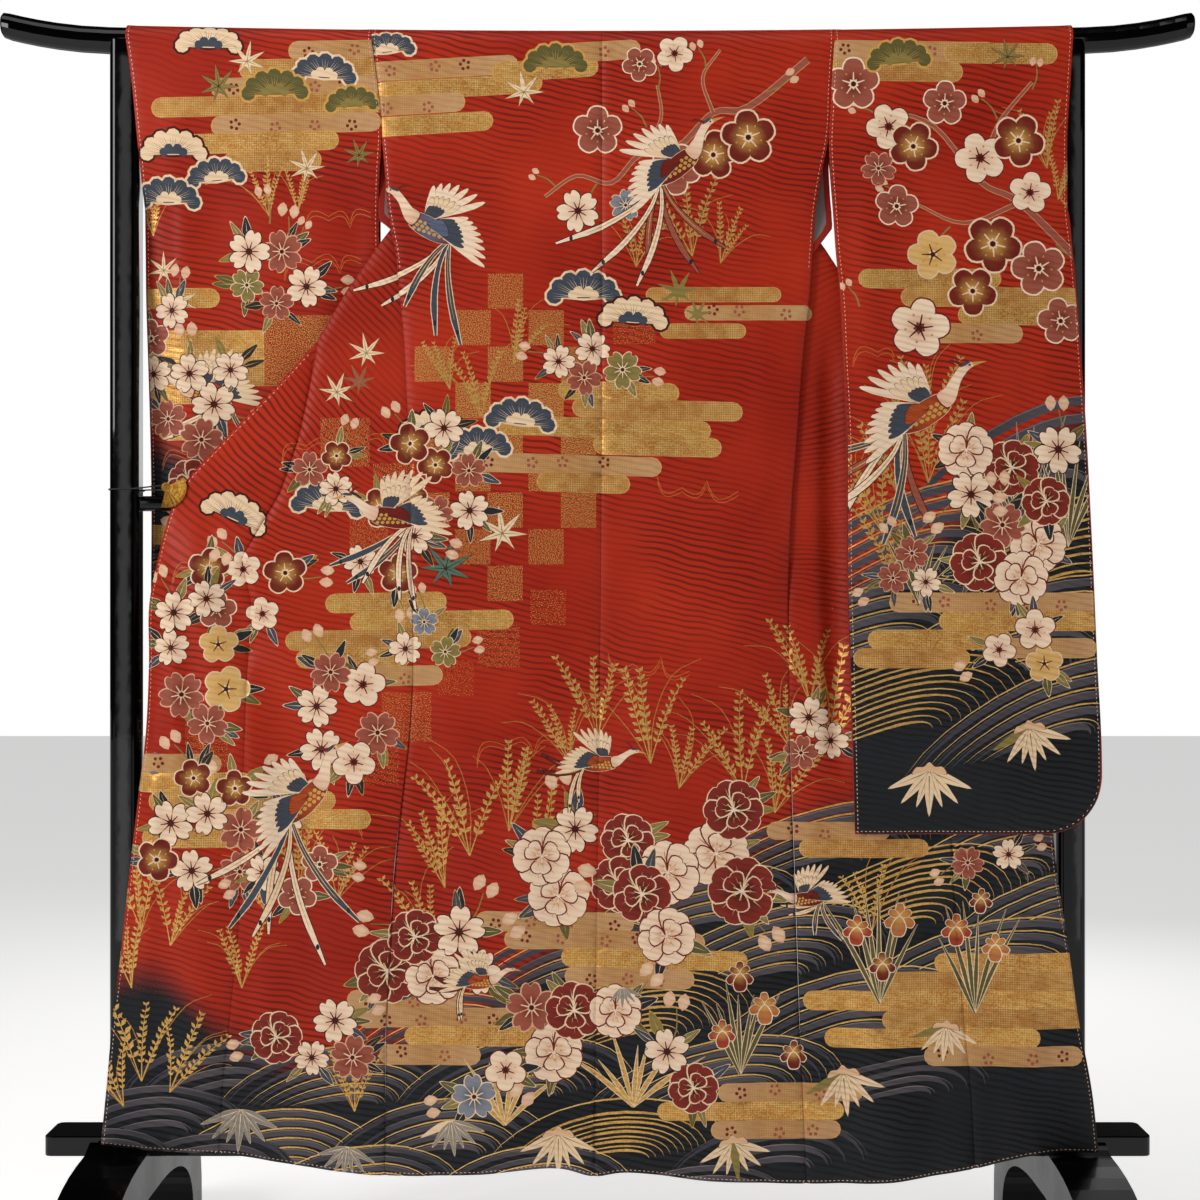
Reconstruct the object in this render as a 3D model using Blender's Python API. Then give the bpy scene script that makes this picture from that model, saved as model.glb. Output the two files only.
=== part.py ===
"""A furisode spread over a lacquered kimono stand, its back turned to the viewer.

Metres, +Z up. The origin is on the floor under the middle of the stand. The displayed side of the
garment faces -Y, and +X is to the viewer's right.
"""
import math
from collections import namedtuple

import bmesh
import bpy
from mathutils import Matrix, Vector

# Cloth
WALL = 0.002                 # silk, lining and the air between them
SEAM = 0.0003                # gap between two sewn pieces

# Stand
BAR_HALF_LENGTH = 0.856
BAR_RADIUS = 0.019
BAR_TIP = 0.006              # length of the rounded tip
BAR_TIP_TAPER = 0.28         # share of the radius lost at the very end
BAR_SIDES = 20
BAR_STATIONS = 36
BAR_HEIGHT = 1.7615          # axis of the bar in the middle
BAR_BOW = 0.0085             # rise of the axis from the middle to the posts
BAR_CURL = 0.0185            # further rise at the tips
BAR_CURL_START = 0.70
POST_X = 0.6775
POST_WIDTH = 0.0415
POST_DEPTH = 0.0456
POST_FOOT = 0.2048
POST_SHOULDER = 0.0090       # how far the side faces start behind the moulding
Moulding = namedtuple("Moulding", "x back")
POST_MOULDING = [
    Moulding(0.0118, 0.0), Moulding(0.0126, 0.0022), Moulding(0.0150, 0.0026),
    Moulding(0.0185, 0.0046),
]
SADDLE_GAP = 0.0008          # between a post's saddle and the bar
SADDLE_TOP = 0.002           # the post's fork ends this far below the bar's axis
RAIL_RADIUS = 0.011
RAIL_HEIGHT = 1.104
PLANK_HALF_LENGTH = 0.786
PLANK_DEPTH = 0.085
PLANK_BOTTOM = 0.176
PLANK_TOP = 0.2045
PLANK_CORNER = 0.010
PLANK_BEVEL = 0.0018
FOOT_X = 0.6765
FOOT_WIDTH = 0.087
FOOT_REACH = 0.340           # half length of a foot
FOOT_HEIGHT = 0.186
FOOT_HOLLOW_REACH = 0.270    # half length of the arch under it
FOOT_HOLLOW_HEIGHT = 0.1215
FOOT_ROUND = 3.0             # exponents of the two rounded outlines
FOOT_HOLLOW_ROUND = 2.6
FOOT_STEPS = 12
CHEEK_HEIGHT = 0.196         # the foot rises beside the board
CHEEK_DEPTH = 0.031

# The cloth's path over the bar: half width front to back, and height above the bar's axis
WRAP_DEPTH = 0.0252
WRAP_HEIGHT = 0.0220
WRAP_ANGLES = [0, 30, 60, 90, 120, 150, 180]
NECK_ANGLE = 150             # the back's neck edge lies here, behind the bar
NECK_HALF_WIDTH = 0.102
CENTRE_TOP = 0.006           # the centre back seam starts this far to the right
CENTRE_HEM = -0.005

# Heights of the cloth's sections, with how far the seams and edges lie out from the middle plane.
# side: armhole and side seam. inner: the front's inner edge, the collar seam and below it the okumi
# seam. front: the okumi's front edge.
Level = namedtuple("Level", "z side_l side_r inner_l inner_r front_l front_r")
LEVELS = [
    Level(1.745, 0.318, 0.336, 0.118, 0.130, None, None),
    Level(1.700, 0.314, 0.334, 0.150, 0.162, None, None),
    Level(1.660, 0.311, 0.332, 0.179, 0.190, None, None),
    Level(1.625, 0.308, 0.330, 0.204, 0.214, None, None),
    Level(1.570, 0.303, 0.319, 0.244, 0.254, None, None),
    Level(1.520, 0.299, 0.311, 0.280, 0.289, None, None),
    Level(1.467, 0.289, 0.307, 0.318, 0.326, None, None),
    Level(1.400, 0.282, 0.302, 0.364, 0.370, None, None),
    Level(1.337, 0.276, 0.295, 0.400, 0.404, 0.400, 0.404),
    Level(1.260, 0.272, 0.288, 0.413, 0.416, 0.469, 0.470),
    Level(1.190, 0.268, 0.283, 0.428, 0.430, 0.537, 0.536),
    Level(1.120, 0.266, 0.277, 0.452, 0.453, 0.597, 0.594),
    Level(1.070, 0.265, 0.274, 0.480, 0.480, 0.615, 0.612),
    Level(1.026, 0.264, 0.272, 0.505, 0.505, 0.625, 0.622),
    Level(0.960, 0.262, 0.270, 0.491, 0.493, 0.636, 0.632),
    Level(0.880, 0.261, 0.271, 0.495, 0.495, 0.635, 0.632),
    Level(0.780, 0.266, 0.272, 0.497, 0.497, 0.638, 0.634),
    Level(0.680, 0.277, 0.275, 0.500, 0.499, 0.649, 0.640),
    Level(0.580, 0.287, 0.278, 0.503, 0.500, 0.660, 0.648),
    Level(0.480, 0.292, 0.281, 0.507, 0.508, 0.670, 0.663),
    Level(0.380, 0.297, 0.284, 0.517, 0.515, 0.682, 0.676),
    Level(0.280, 0.298, 0.288, 0.526, 0.524, 0.690, 0.694),
    Level(0.180, 0.298, 0.293, 0.534, 0.531, 0.702, 0.706),
]
FOLD_TIP = 1.026             # the front is folded behind the back above this height
ARMHOLE_END = 1.467          # the side seam is sewn below this height
SLEEVE_SEAM_END = 1.625      # the sleeve is sewn to the body above this height
KENSAKI = 1.337              # the pointed top of the okumi
COLLAR_END = 1.026
COLLAR_WIDTH = 0.055
COLLAR_SPREAD = 1.62         # above this height the collar moves out behind the bar
COLLAR_STEP = 0.0035
COLLAR_BEHIND = 0.0055       # how far the neck part lies behind the turned front
COLLAR_SEAM_STEP = (0.0, 0.0024, -0.0012)     # from the back's neck edge to the collar's
COLLAR_AROUND = (-1.0, -0.96, -0.6, -0.2, 0.2, 0.6, 0.96, 1.0)

# The collar's sections: reach from the seam, how far behind the front it lies, how far it draws in
# at the neck, and how far it drops there
CollarLine = namedtuple("CollarLine", "reach behind draw_in drop")
COLLAR_LINES = [
    CollarLine(0.001, 0.0027, 1.00, -0.002),
    CollarLine(0.4 * COLLAR_WIDTH, 0.0085, 0.85, 0.012),
    CollarLine(COLLAR_WIDTH, 0.0075, 0.62, 0.049),
]

# Where the front's armhole edge laps out past the back's, and shows its lining in the gap
Lap = namedtuple("Lap", "z left right")
ARMHOLE_LAP = [
    Lap(1.625, 0.0, 0.0), Lap(1.570, 0.006, 0.010), Lap(1.520, 0.010, 0.019), Lap(1.467, 0.0, 0.0),
]

# The hem's height at points across the whole spread garment
Hem = namedtuple("Hem", "x z")
HEMLINE = [
    Hem(-0.702, 0.201), Hem(-0.626, 0.193), Hem(-0.534, 0.189), Hem(-0.389, 0.169),
    Hem(-0.298, 0.159), Hem(-0.044, 0.166), Hem(-0.005, 0.157), Hem(0.030, 0.162),
    Hem(0.165, 0.151), Hem(0.293, 0.147), Hem(0.432, 0.152), Hem(0.531, 0.168),
    Hem(0.625, 0.189), Hem(0.706, 0.190),
]

# How far the displayed cloth hangs in front of the middle plane, by height
Hang = namedtuple("Hang", "z y")
DISPLAY_HANG = [
    Hang(1.763, -0.0252), Hang(1.625, -0.0275), Hang(1.300, -0.035), Hang(1.000, -0.044),
    Hang(0.700, -0.055), Hang(0.400, -0.067), Hang(0.200, -0.077), Hang(0.130, -0.080),
]
# The front where it is folded behind the back: first its outer face, then how far the
# turned part lies behind the display line
FOLDED_HANG = [
    Hang(1.763, 0.0252), Hang(1.745, 0.0235), Hang(1.700, 0.013), Hang(1.660, 0.004),
    Hang(1.625, -0.004), Hang(1.570, -0.008), Hang(1.520, -0.013), Hang(1.467, -0.0245),
    Hang(1.400, -0.0270), Hang(1.300, -0.0295), Hang(1.000, -0.0385),
]
TURN_GAP = 0.004
TURNED_DROP = [
    Hang(1.467, 0.0120), Hang(1.200, 0.0105), Hang(1.070, 0.0095), Hang(1.026, 0.0080),
    Hang(0.960, 0.0030), Hang(0.880, 0.0), Hang(0.100, 0.0),
]

# The largest folds: ridges (positive) and troughs (negative) along straight lines
Fold = namedtuple("Fold", "x_top z_top x_low z_low height width")
FOLDS = [
    Fold(-0.585, 1.10, -0.555, 0.30, 0.010, 0.034),
    Fold(-0.575, 1.10, -0.470, 0.62, 0.009, 0.036),
    Fold(-0.600, 1.06, -0.625, 0.52, 0.007, 0.026),
    Fold(-0.545, 1.09, -0.380, 0.80, 0.008, 0.045),
    Fold(-0.350, 0.75, -0.375, 0.15, 0.008, 0.055),
    Fold(-0.160, 0.90, -0.170, 0.15, 0.006, 0.070),
    Fold(0.120, 0.95, 0.130, 0.15, 0.006, 0.075),
    Fold(0.350, 0.90, 0.400, 0.14, 0.007, 0.050),
    Fold(0.560, 1.08, 0.480, 0.60, 0.006, 0.040),
    Fold(0.580, 1.08, 0.590, 0.30, 0.006, 0.040),
    Fold(0.030, 1.50, 0.020, 0.60, -0.004, 0.050),
]
FOLD_FADE = 0.20             # share of a fold's length over which it rises
FOLD_OVERRUN = 0.25          # and over which it dies away past its lower end
HEM_FOLDS = 0.20             # folds that end below this height run on through the hem

# Sleeves: the same heights on both sides, each with its own edges and depths.
# front and rear are the depths of the outer faces of the two layers.
SleeveLevel = namedtuple("SleeveLevel", "z inner outer outer_rear front rear")
SLEEVE_LEFT = [
    SleeveLevel(1.745, 0.318, 0.671, 0.650, -0.0254, 0.0250),
    SleeveLevel(1.700, 0.314, 0.665, 0.648, -0.0262, 0.0245),
    SleeveLevel(1.660, 0.311, 0.661, 0.648, -0.0268, 0.0240),
    SleeveLevel(1.625, 0.308, 0.657, 0.649, -0.0275, 0.0235),
    SleeveLevel(1.570, 0.312, 0.653, 0.651, -0.0190, 0.0230),
    SleeveLevel(1.520, 0.314, 0.652, 0.652, -0.0110, 0.0235),
    SleeveLevel(1.467, 0.314, 0.652, 0.652, -0.0060, 0.0245),
    SleeveLevel(1.400, 0.313, 0.652, 0.652, -0.0005, 0.0265),
    SleeveLevel(1.300, 0.313, 0.650, 0.650, 0.0070, 0.0300),
    SleeveLevel(1.200, 0.314, 0.648, 0.648, 0.0120, 0.0330),
    SleeveLevel(1.104, 0.315, 0.647, 0.647, 0.0145, 0.0360),
    SleeveLevel(1.000, 0.317, 0.648, 0.648, 0.0170, 0.0380),
    SleeveLevel(0.880, 0.319, 0.650, 0.650, 0.0190, 0.0370),
    SleeveLevel(0.760, 0.321, 0.652, 0.652, 0.0210, 0.0340),
    SleeveLevel(0.637, 0.323, 0.652, 0.652, 0.0230, 0.0273),
]
SLEEVE_RIGHT = [
    SleeveLevel(1.745, 0.336, 0.678, 0.648, -0.0254, 0.0235),
    SleeveLevel(1.700, 0.334, 0.675, 0.645, -0.0262, 0.0130),
    SleeveLevel(1.660, 0.332, 0.672, 0.646, -0.0268, 0.0040),
    SleeveLevel(1.625, 0.330, 0.670, 0.648, -0.0275, -0.0050),
    SleeveLevel(1.570, 0.332, 0.669, 0.652, -0.0320, -0.0190),
    SleeveLevel(1.520, 0.335, 0.669, 0.669, -0.0390, -0.0285),
    SleeveLevel(1.467, 0.338, 0.674, 0.674, -0.0460, -0.0340),
    SleeveLevel(1.400, 0.344, 0.679, 0.679, -0.0520, -0.0375),
    SleeveLevel(1.300, 0.348, 0.685, 0.685, -0.0590, -0.0425),
    SleeveLevel(1.200, 0.352, 0.690, 0.690, -0.0680, -0.0470),
    SleeveLevel(1.104, 0.352, 0.694, 0.694, -0.0730, -0.0510),
    SleeveLevel(1.000, 0.352, 0.698, 0.698, -0.0770, -0.0560),
    SleeveLevel(0.880, 0.355, 0.702, 0.702, -0.0805, -0.0605),
    SleeveLevel(0.760, 0.358, 0.707, 0.707, -0.0820, -0.0670),
    SleeveLevel(0.637, 0.361, 0.707, 0.707, -0.0795, -0.0752),
]
SLEEVE_BOTTOM = 0.637
SLEEVE_CORNER = 0.080        # radius of the rounded outer corner
SLEEVE_EASE = 1.1            # below this height the sections take up the bottom's rounded corner
CUFF_END = 1.53              # the outer edge is sewn up to here and is open above
SEWN_SHARE = 0.20            # the layers close over this share of the width at the sewn edge

# The sleeves' edges on top of the bar, and the rear layer's cuff edge, drawn in beside the post
SleeveTop = namedtuple("SleeveTop", "inner outer cuff_rear")
SLEEVE_TOP_LEFT = SleeveTop(0.3225, 0.674, 0.653)
SLEEVE_TOP_RIGHT = SleeveTop(0.338, 0.679, 0.651)

SIDE_COLUMNS = 5             # columns from the side seam to the neck point
NECK_COLUMNS = 2             # columns from the neck point to the centre seam
TURNED_COLUMNS = 8
OKUMI_COLUMNS = 5
SLEEVE_COLUMNS = 8

# Fan clip: ribs from just above the level round to just past straight down
CLIP_X = 0.614
CLIP_Z = 1.126
CLIP_RADIUS = 0.029
CLIP_RIBS = 10
CLIP_START = math.radians(29)
CLIP_END = math.radians(-104)
CLIP_INNER = 0.005
CLIP_HEAD = 0.0066
CLIP_THICKNESS = 0.0012
CLIP_PLEAT = 0.0018
CLIP_GAP = 0.0004
PIN_RADIUS = 0.002
PIN_LENGTH = 0.007
CORD_RADIUS = 0.0011
CORD_POINTS = 52

LACQUER = ("lacquered_wood", (0.010, 0.010, 0.012), 0.12, 0.0)
SILK = ("satin_silk", (0.46, 0.03, 0.02), 0.45, 0.0)
GILT = ("gilt_brass", (0.72, 0.50, 0.20), 0.25, 1.0)
CORD = ("black_cord", (0.01, 0.01, 0.01), 0.6, 0.0)


def clear_scene():
    for item in list(bpy.data.objects):
        bpy.data.objects.remove(item, do_unlink=True)


def material(finish):
    name, colour, roughness, metallic = finish
    found = bpy.data.materials.get(name)
    if found:
        return found
    made = bpy.data.materials.new(name)
    made.use_nodes = True
    shader = made.node_tree.nodes["Principled BSDF"]
    shader.inputs["Base Color"].default_value = (*colour, 1.0)
    shader.inputs["Roughness"].default_value = roughness
    shader.inputs["Metallic"].default_value = metallic
    return made


def add_object(name, data, finish):
    item = bpy.data.objects.new(name, data)
    data.materials.append(material(finish))
    bpy.context.scene.collection.objects.link(item)
    return item


def mesh_object(name, bm, finish, smooth_angle=35):
    bmesh.ops.recalc_face_normals(bm, faces=bm.faces[:])
    mesh = bpy.data.meshes.new(name)
    bm.to_mesh(mesh)
    bm.free()
    mesh.shade_smooth()
    mesh.set_sharp_from_angle(angle=math.radians(smooth_angle))
    return add_object(name, mesh, finish)


def blend(a, b, t):
    return a + (b - a) * t


def smooth(t):
    t = min(max(t, 0.0), 1.0)
    return t * t * (3.0 - 2.0 * t)


def read_off(table, key, value, at):
    """The value column of a table, read between its rows at a place in the key column."""
    rows = sorted(table, key=lambda row: getattr(row, key))
    if at <= getattr(rows[0], key):
        return getattr(rows[0], value)
    for low, high in zip(rows, rows[1:]):
        if at <= getattr(high, key):
            share = (at - getattr(low, key)) / (getattr(high, key) - getattr(low, key))
            return blend(getattr(low, value), getattr(high, value), share)
    return getattr(rows[-1], value)


def bar_axis(x):
    """Height of the bar's axis, which bows up towards the posts and curls up at the tips."""
    curl = max(0.0, abs(x) - BAR_CURL_START) / (BAR_HALF_LENGTH - BAR_CURL_START)
    return BAR_HEIGHT + BAR_BOW * (x / BAR_CURL_START) ** 2 + BAR_CURL * curl ** 2


def fold_height(x, z):
    """Sum of the folds: each is a ridge along its line that fades out at both ends."""
    total = 0.0
    for fold in FOLDS:
        top = Vector((fold.x_top, fold.z_top))
        run = Vector((fold.x_low, fold.z_low)) - top
        offset = Vector((x, z)) - top
        share = offset.dot(run) / run.length_squared
        reach = smooth(share / FOLD_FADE)
        if fold.z_low > HEM_FOLDS:
            reach *= smooth((1.0 + FOLD_OVERRUN - share) / FOLD_OVERRUN)
        across = abs(offset.x * run.y - offset.y * run.x) / run.length
        total += fold.height * reach * math.exp(-(across / fold.width) ** 2)
    return total


def display_y(x, z):
    """Depth of the displayed face: the hang by height, less the folds, which stand forward."""
    return read_off(DISPLAY_HANG, "z", "y", z) - fold_height(x, z)


def turned_y(x, z):
    """Depth of the front and okumi, which lie behind the display line above the fold's tip."""
    hang = display_y(x, z) + read_off(TURNED_DROP, "z", "y", z)
    if z < ARMHOLE_END:
        return hang
    return read_off(FOLDED_HANG, "z", "y", z) + TURN_GAP


def hem_z(x):
    return read_off(HEMLINE, "x", "z", x)


def centre_x(z):
    return blend(CENTRE_HEM, CENTRE_TOP, smooth(z / 1.3))


def levels_below(z_top):
    return [level for level in LEVELS if level.z <= z_top + 1e-6]


def section_z(level, x):
    """A level's height at x: the lowest follows the hem, the highest follows the bar's bow."""
    if level.z == LEVELS[-1].z:
        return hem_z(x)
    if level.z == LEVELS[0].z:
        return level.z + bar_axis(x) - BAR_HEIGHT
    return level.z


class ClothBuilder:
    """Collects grids of outer-face points, each with its inward direction, into one closed wall."""

    def __init__(self, name):
        self.name = name
        self.bm = bmesh.new()
        self.inward = self.bm.verts.layers.float_vector.new("inward")

    def grid(self, rows):
        made = []
        for row in rows:
            line = []
            for point, direction in row:
                vert = self.bm.verts.new(point)
                vert[self.inward] = direction
                line.append(vert)
            made.append(line)
        for upper, lower in zip(made, made[1:]):
            for i in range(len(upper) - 1):
                self.bm.faces.new((upper[i], upper[i + 1], lower[i + 1], lower[i]))

    def finish(self):
        bm = self.bm
        bmesh.ops.remove_doubles(bm, verts=bm.verts[:], dist=1e-5)
        bmesh.ops.dissolve_degenerate(bm, edges=bm.edges[:], dist=1e-6)
        bmesh.ops.triangulate(bm, faces=bm.faces[:])
        grown = bmesh.ops.extrude_face_region(bm, geom=bm.faces[:], use_keep_orig=True)
        for vert in [item for item in grown["geom"] if isinstance(item, bmesh.types.BMVert)]:
            vert.co += Vector(vert[self.inward]) * WALL
        return mesh_object(self.name, bm, SILK, 60)


def wrap_point(x, degrees):
    """A point of the cloth's outer face on the bar, with the direction in to the bar."""
    angle = math.radians(degrees)
    across, up = -math.cos(angle), math.sin(angle)
    point = Vector((x, WRAP_DEPTH * across, bar_axis(x) + WRAP_HEIGHT * up))
    return point, Vector((0.0, -across, -up))


BACKWARD = Vector((0.0, 1.0, 0.0))
FORWARD = Vector((0.0, -1.0, 0.0))


def build_body(name, sign):
    """One body length: back from hem to shoulder, over the bar, and the front down to its hem."""
    tag = "l" if sign < 0 else "r"
    builder = ClothBuilder(name)
    neck_x = CENTRE_TOP + sign * NECK_HALF_WIDTH
    columns = SIDE_COLUMNS + NECK_COLUMNS
    top_side = SLEEVE_TOP_LEFT.inner if sign < 0 else SLEEVE_TOP_RIGHT.inner
    neck_share = (top_side - sign * neck_x) / (top_side - sign * CENTRE_TOP)

    def share(column):
        """Place across the back: 0 at the side seam, 1 at the centre seam."""
        if column <= SIDE_COLUMNS:
            return neck_share * column / SIDE_COLUMNS
        return blend(neck_share, 1.0, (column - SIDE_COLUMNS) / NECK_COLUMNS)

    def back_row(level):
        side = sign * (getattr(level, "side_" + tag) - SEAM)
        middle = centre_x(level.z) + sign * SEAM
        row = []
        for column in range(columns + 1):
            x = blend(side, middle, share(column))
            z = section_z(level, x)
            row.append((Vector((x, display_y(x, z), z)), BACKWARD))
        return row

    def wrap_row(degrees, last_column):
        side = sign * (top_side - SEAM)
        middle = CENTRE_TOP + sign * SEAM
        return [wrap_point(blend(side, middle, share(column)), degrees)
                for column in range(last_column + 1)]

    upward = [back_row(level) for level in reversed(LEVELS)]
    to_neck = [wrap_row(degrees, columns) for degrees in WRAP_ANGLES if degrees <= NECK_ANGLE]
    builder.grid(upward + to_neck)

    # Front, first part: behind the back, its outer face turned away from the viewer
    fold_rows = [level for level in LEVELS if level.z >= FOLD_TIP - 1e-6]
    tip_x = sign * getattr(fold_rows[-1], "side_" + tag)
    top_z = bar_axis(neck_x)

    def fold_x(z):
        return blend(neck_x, tip_x, (top_z - z) / (top_z - FOLD_TIP))

    def folded_row(level):
        lap = read_off(ARMHOLE_LAP, "z", "left" if sign < 0 else "right", level.z)
        side = sign * (getattr(level, "side_" + tag) + lap)
        fold = fold_x(level.z)
        row = []
        for column in range(SIDE_COLUMNS + 1):
            x = blend(side, fold, column / SIDE_COLUMNS)
            z = section_z(level, x)
            y = read_off(FOLDED_HANG, "z", "y", z)
            inward = Vector((-sign, -1.0, 0.0)) if column == SIDE_COLUMNS else FORWARD
            row.append((Vector((x, y, z)), inward))
        return row

    down = [wrap_row(NECK_ANGLE, SIDE_COLUMNS), wrap_row(180, SIDE_COLUMNS)]
    down += [folded_row(level) for level in fold_rows]
    corner, _ = down[1][-1]
    down[1][-1] = (corner, Vector((-sign, -1.0, 0.0)))
    builder.grid(down)

    # Front, second part: turned back along the fold, so that its outer face meets the viewer
    def turned_row(level):
        fold = fold_x(level.z) if level.z >= FOLD_TIP else sign * getattr(level, "side_" + tag)
        if level.z < FOLD_TIP - 1e-6:
            fold += sign * SEAM
        inner = sign * (getattr(level, "inner_" + tag) - SEAM)
        row = []
        for column in range(TURNED_COLUMNS + 1):
            x = blend(fold, inner, column / TURNED_COLUMNS)
            z = section_z(level, x)
            turned = column == 0 and level.z > FOLD_TIP - 1e-6
            inward = Vector((-sign, 1.0, 0.0)) if turned else BACKWARD
            row.append((Vector((x, turned_y(x, z), z)), inward))
        return row

    start = Vector((neck_x, WRAP_DEPTH + TURN_GAP, top_z))
    turned = [[(start, Vector((-sign, 1.0, 0.0)))] * (TURNED_COLUMNS + 1)]
    turned += [turned_row(level) for level in LEVELS]
    builder.grid(turned)

    fold_edges = [down[1][-1]] + [row[-1] for row in down[2:]]
    strip = [[first, second[0]] for first, second in zip(fold_edges, turned)]
    builder.grid(strip)
    return builder.finish()


def build_okumi(name, sign):
    """The overlap panel, from its pointed top under the collar to the hem."""
    tag = "l" if sign < 0 else "r"
    builder = ClothBuilder(name)
    rows = []
    for level in levels_below(KENSAKI):
        inner = sign * (getattr(level, "inner_" + tag) + SEAM)
        front = sign * (getattr(level, "front_" + tag) + 2 * SEAM)
        row = []
        for column in range(OKUMI_COLUMNS + 1):
            x = blend(inner, front, column / OKUMI_COLUMNS)
            z = section_z(level, x)
            row.append((Vector((x, turned_y(x, z), z)), BACKWARD))
        rows.append(row)
    builder.grid(rows)
    return builder.finish()


def collar_side(sign):
    """Sections of the collar along one front edge, from its end up to the neck."""
    tag = "l" if sign < 0 else "r"
    edge = []
    for level in LEVELS:
        out = getattr(level, "inner_" + tag) if level.z >= KENSAKI else getattr(level, "front_" + tag)
        if level.z >= COLLAR_END - 1e-6:
            edge.append(Vector((sign * out, 0.0, level.z)))
    rows = []
    for i, place in enumerate(edge):
        run = edge[min(i + 1, len(edge) - 1)] - edge[max(i - 1, 0)]
        under = Vector((-sign * abs(run.z), 0.0, -abs(run.x))).normalized()
        row = []
        near_neck = smooth((place.z - COLLAR_SPREAD) / (LEVELS[0].z - COLLAR_SPREAD))
        for line in COLLAR_LINES:
            spot = place + under * line.reach
            y = turned_y(spot.x, spot.z) + line.behind + COLLAR_STEP * near_neck
            row.append((Vector((spot.x, y, spot.z)), BACKWARD))
        rows.append(row)
    return rows[::-1]


def build_collar():
    """One band: up the left front edge, round the neck behind the bar, and down the right edge."""
    back = WRAP_DEPTH + TURN_GAP + COLLAR_BEHIND
    around = []
    for share in COLLAR_AROUND:
        out = NECK_HALF_WIDTH * share
        axis = bar_axis(CENTRE_TOP + out)
        row = [(Vector((CENTRE_TOP + line.draw_in * out, back, axis - line.drop)), BACKWARD)
               for line in COLLAR_LINES]
        if abs(share) < 1.0:
            seam = wrap_point(CENTRE_TOP + out, NECK_ANGLE)[0] + Vector(COLLAR_SEAM_STEP)
            row[0] = (seam, BACKWARD)
        around.append(row)
    builder = ClothBuilder("collar")
    builder.grid(collar_side(-1) + around + collar_side(1)[::-1])
    return builder.finish()


def build_sleeve(name, sign):
    """A bag of two layers over the bar, sewn at the bottom and up the outer edge to the cuff."""
    table = SLEEVE_LEFT if sign < 0 else SLEEVE_RIGHT
    top = SLEEVE_TOP_LEFT if sign < 0 else SLEEVE_TOP_RIGHT
    builder = ClothBuilder(name)

    def shares():
        """Places across the sleeve, closer together towards the outer edge."""
        even = [column / SLEEVE_COLUMNS for column in range(SLEEVE_COLUMNS + 1)]
        return [blend(share, math.sin(share * math.pi / 2), 0.5) for share in even]

    def bottom_z(x):
        """The bottom edge, with its rounded outer corner."""
        inset = max(0.0, abs(x) - (table[-1].outer - SLEEVE_CORNER))
        inset = min(inset, SLEEVE_CORNER)
        return SLEEVE_BOTTOM + SLEEVE_CORNER - math.sqrt(SLEEVE_CORNER ** 2 - inset ** 2)

    def layer_row(index, rear):
        level = table[index]
        outer = level.outer_rear if rear else level.outer
        middle = 0.5 * (level.front + level.rear)
        row = []
        for share in shares():
            x = sign * blend(level.inner + SEAM, outer, share)
            z = level.z
            if index == 0:
                z += bar_axis(x) - BAR_HEIGHT
            elif z < SLEEVE_EASE:
                z = blend(bottom_z(x), SLEEVE_EASE, (z - SLEEVE_BOTTOM) / (SLEEVE_EASE - SLEEVE_BOTTOM))
            sewn = 0.0 if level.z > CUFF_END else smooth((share - 1.0 + SEWN_SHARE) / SEWN_SHARE)
            half = blend(0.5 * (level.rear - level.front), WALL + 0.5 * SEAM, sewn)
            y = middle + half if rear else middle - half
            if rear and level.z >= SLEEVE_SEAM_END - 1e-6:
                body = read_off(FOLDED_HANG, "z", "y", z)
                y = blend(body, y, smooth(share / 0.5))
            if not rear and level.z >= SLEEVE_SEAM_END - 1e-6:
                y = blend(display_y(x, z), y, smooth(share / 0.5))
            row.append((Vector((x, y, z)), FORWARD if rear else BACKWARD))
        return row

    def wrap_row(degrees):
        drawn_in = smooth((degrees - 90) / 60)
        outer = blend(top.outer, top.cuff_rear, drawn_in)
        return [wrap_point(sign * blend(top.inner + SEAM, outer, share), degrees)
                for share in shares()]

    count = len(table)
    rows = [layer_row(i, False) for i in reversed(range(count))]
    rows += [wrap_row(degrees) for degrees in WRAP_ANGLES]
    rows += [layer_row(i, True) for i in range(count)]
    builder.grid(rows)
    return builder.finish()


def profile_prism(name, outline, bottom, top, finish, bevel=0.0):
    """A closed outline in X and Y, extruded straight up."""
    bm = bmesh.new()
    face = bm.faces.new([bm.verts.new((x, y, bottom)) for x, y in outline])
    grown = bmesh.ops.extrude_face_region(bm, geom=[face], use_keep_orig=True)
    moved = [item for item in grown["geom"] if isinstance(item, bmesh.types.BMVert)]
    bmesh.ops.translate(bm, verts=moved, vec=(0.0, 0.0, top - bottom))
    item = mesh_object(name, bm, finish)
    if bevel:
        edge = item.modifiers.new("edge", "BEVEL")
        edge.width = bevel
        edge.segments = 2
        edge.limit_method = "ANGLE"
    return item


def build_bar():
    """The round top bar, swept along its bow, with rounded ends."""
    bm = bmesh.new()
    rings = []
    for i in range(BAR_STATIONS + 1):
        x = -BAR_HALF_LENGTH * math.cos(math.pi * i / BAR_STATIONS)
        inset = max(0.0, abs(x) - (BAR_HALF_LENGTH - BAR_TIP)) / BAR_TIP
        radius = BAR_RADIUS * (1.0 - BAR_TIP_TAPER * inset ** 2)
        ring = []
        for k in range(BAR_SIDES):
            angle = 2 * math.pi * k / BAR_SIDES
            ring.append(bm.verts.new((x, radius * math.cos(angle),
                                      bar_axis(x) + radius * math.sin(angle))))
        rings.append(ring)
    for first, second in zip(rings, rings[1:]):
        for k in range(BAR_SIDES):
            n = (k + 1) % BAR_SIDES
            bm.faces.new((first[k], first[n], second[n], second[k]))
    bm.faces.new(rings[0])
    bm.faces.new(rings[-1][::-1])
    return mesh_object("bar", bm, LACQUER)


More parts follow.
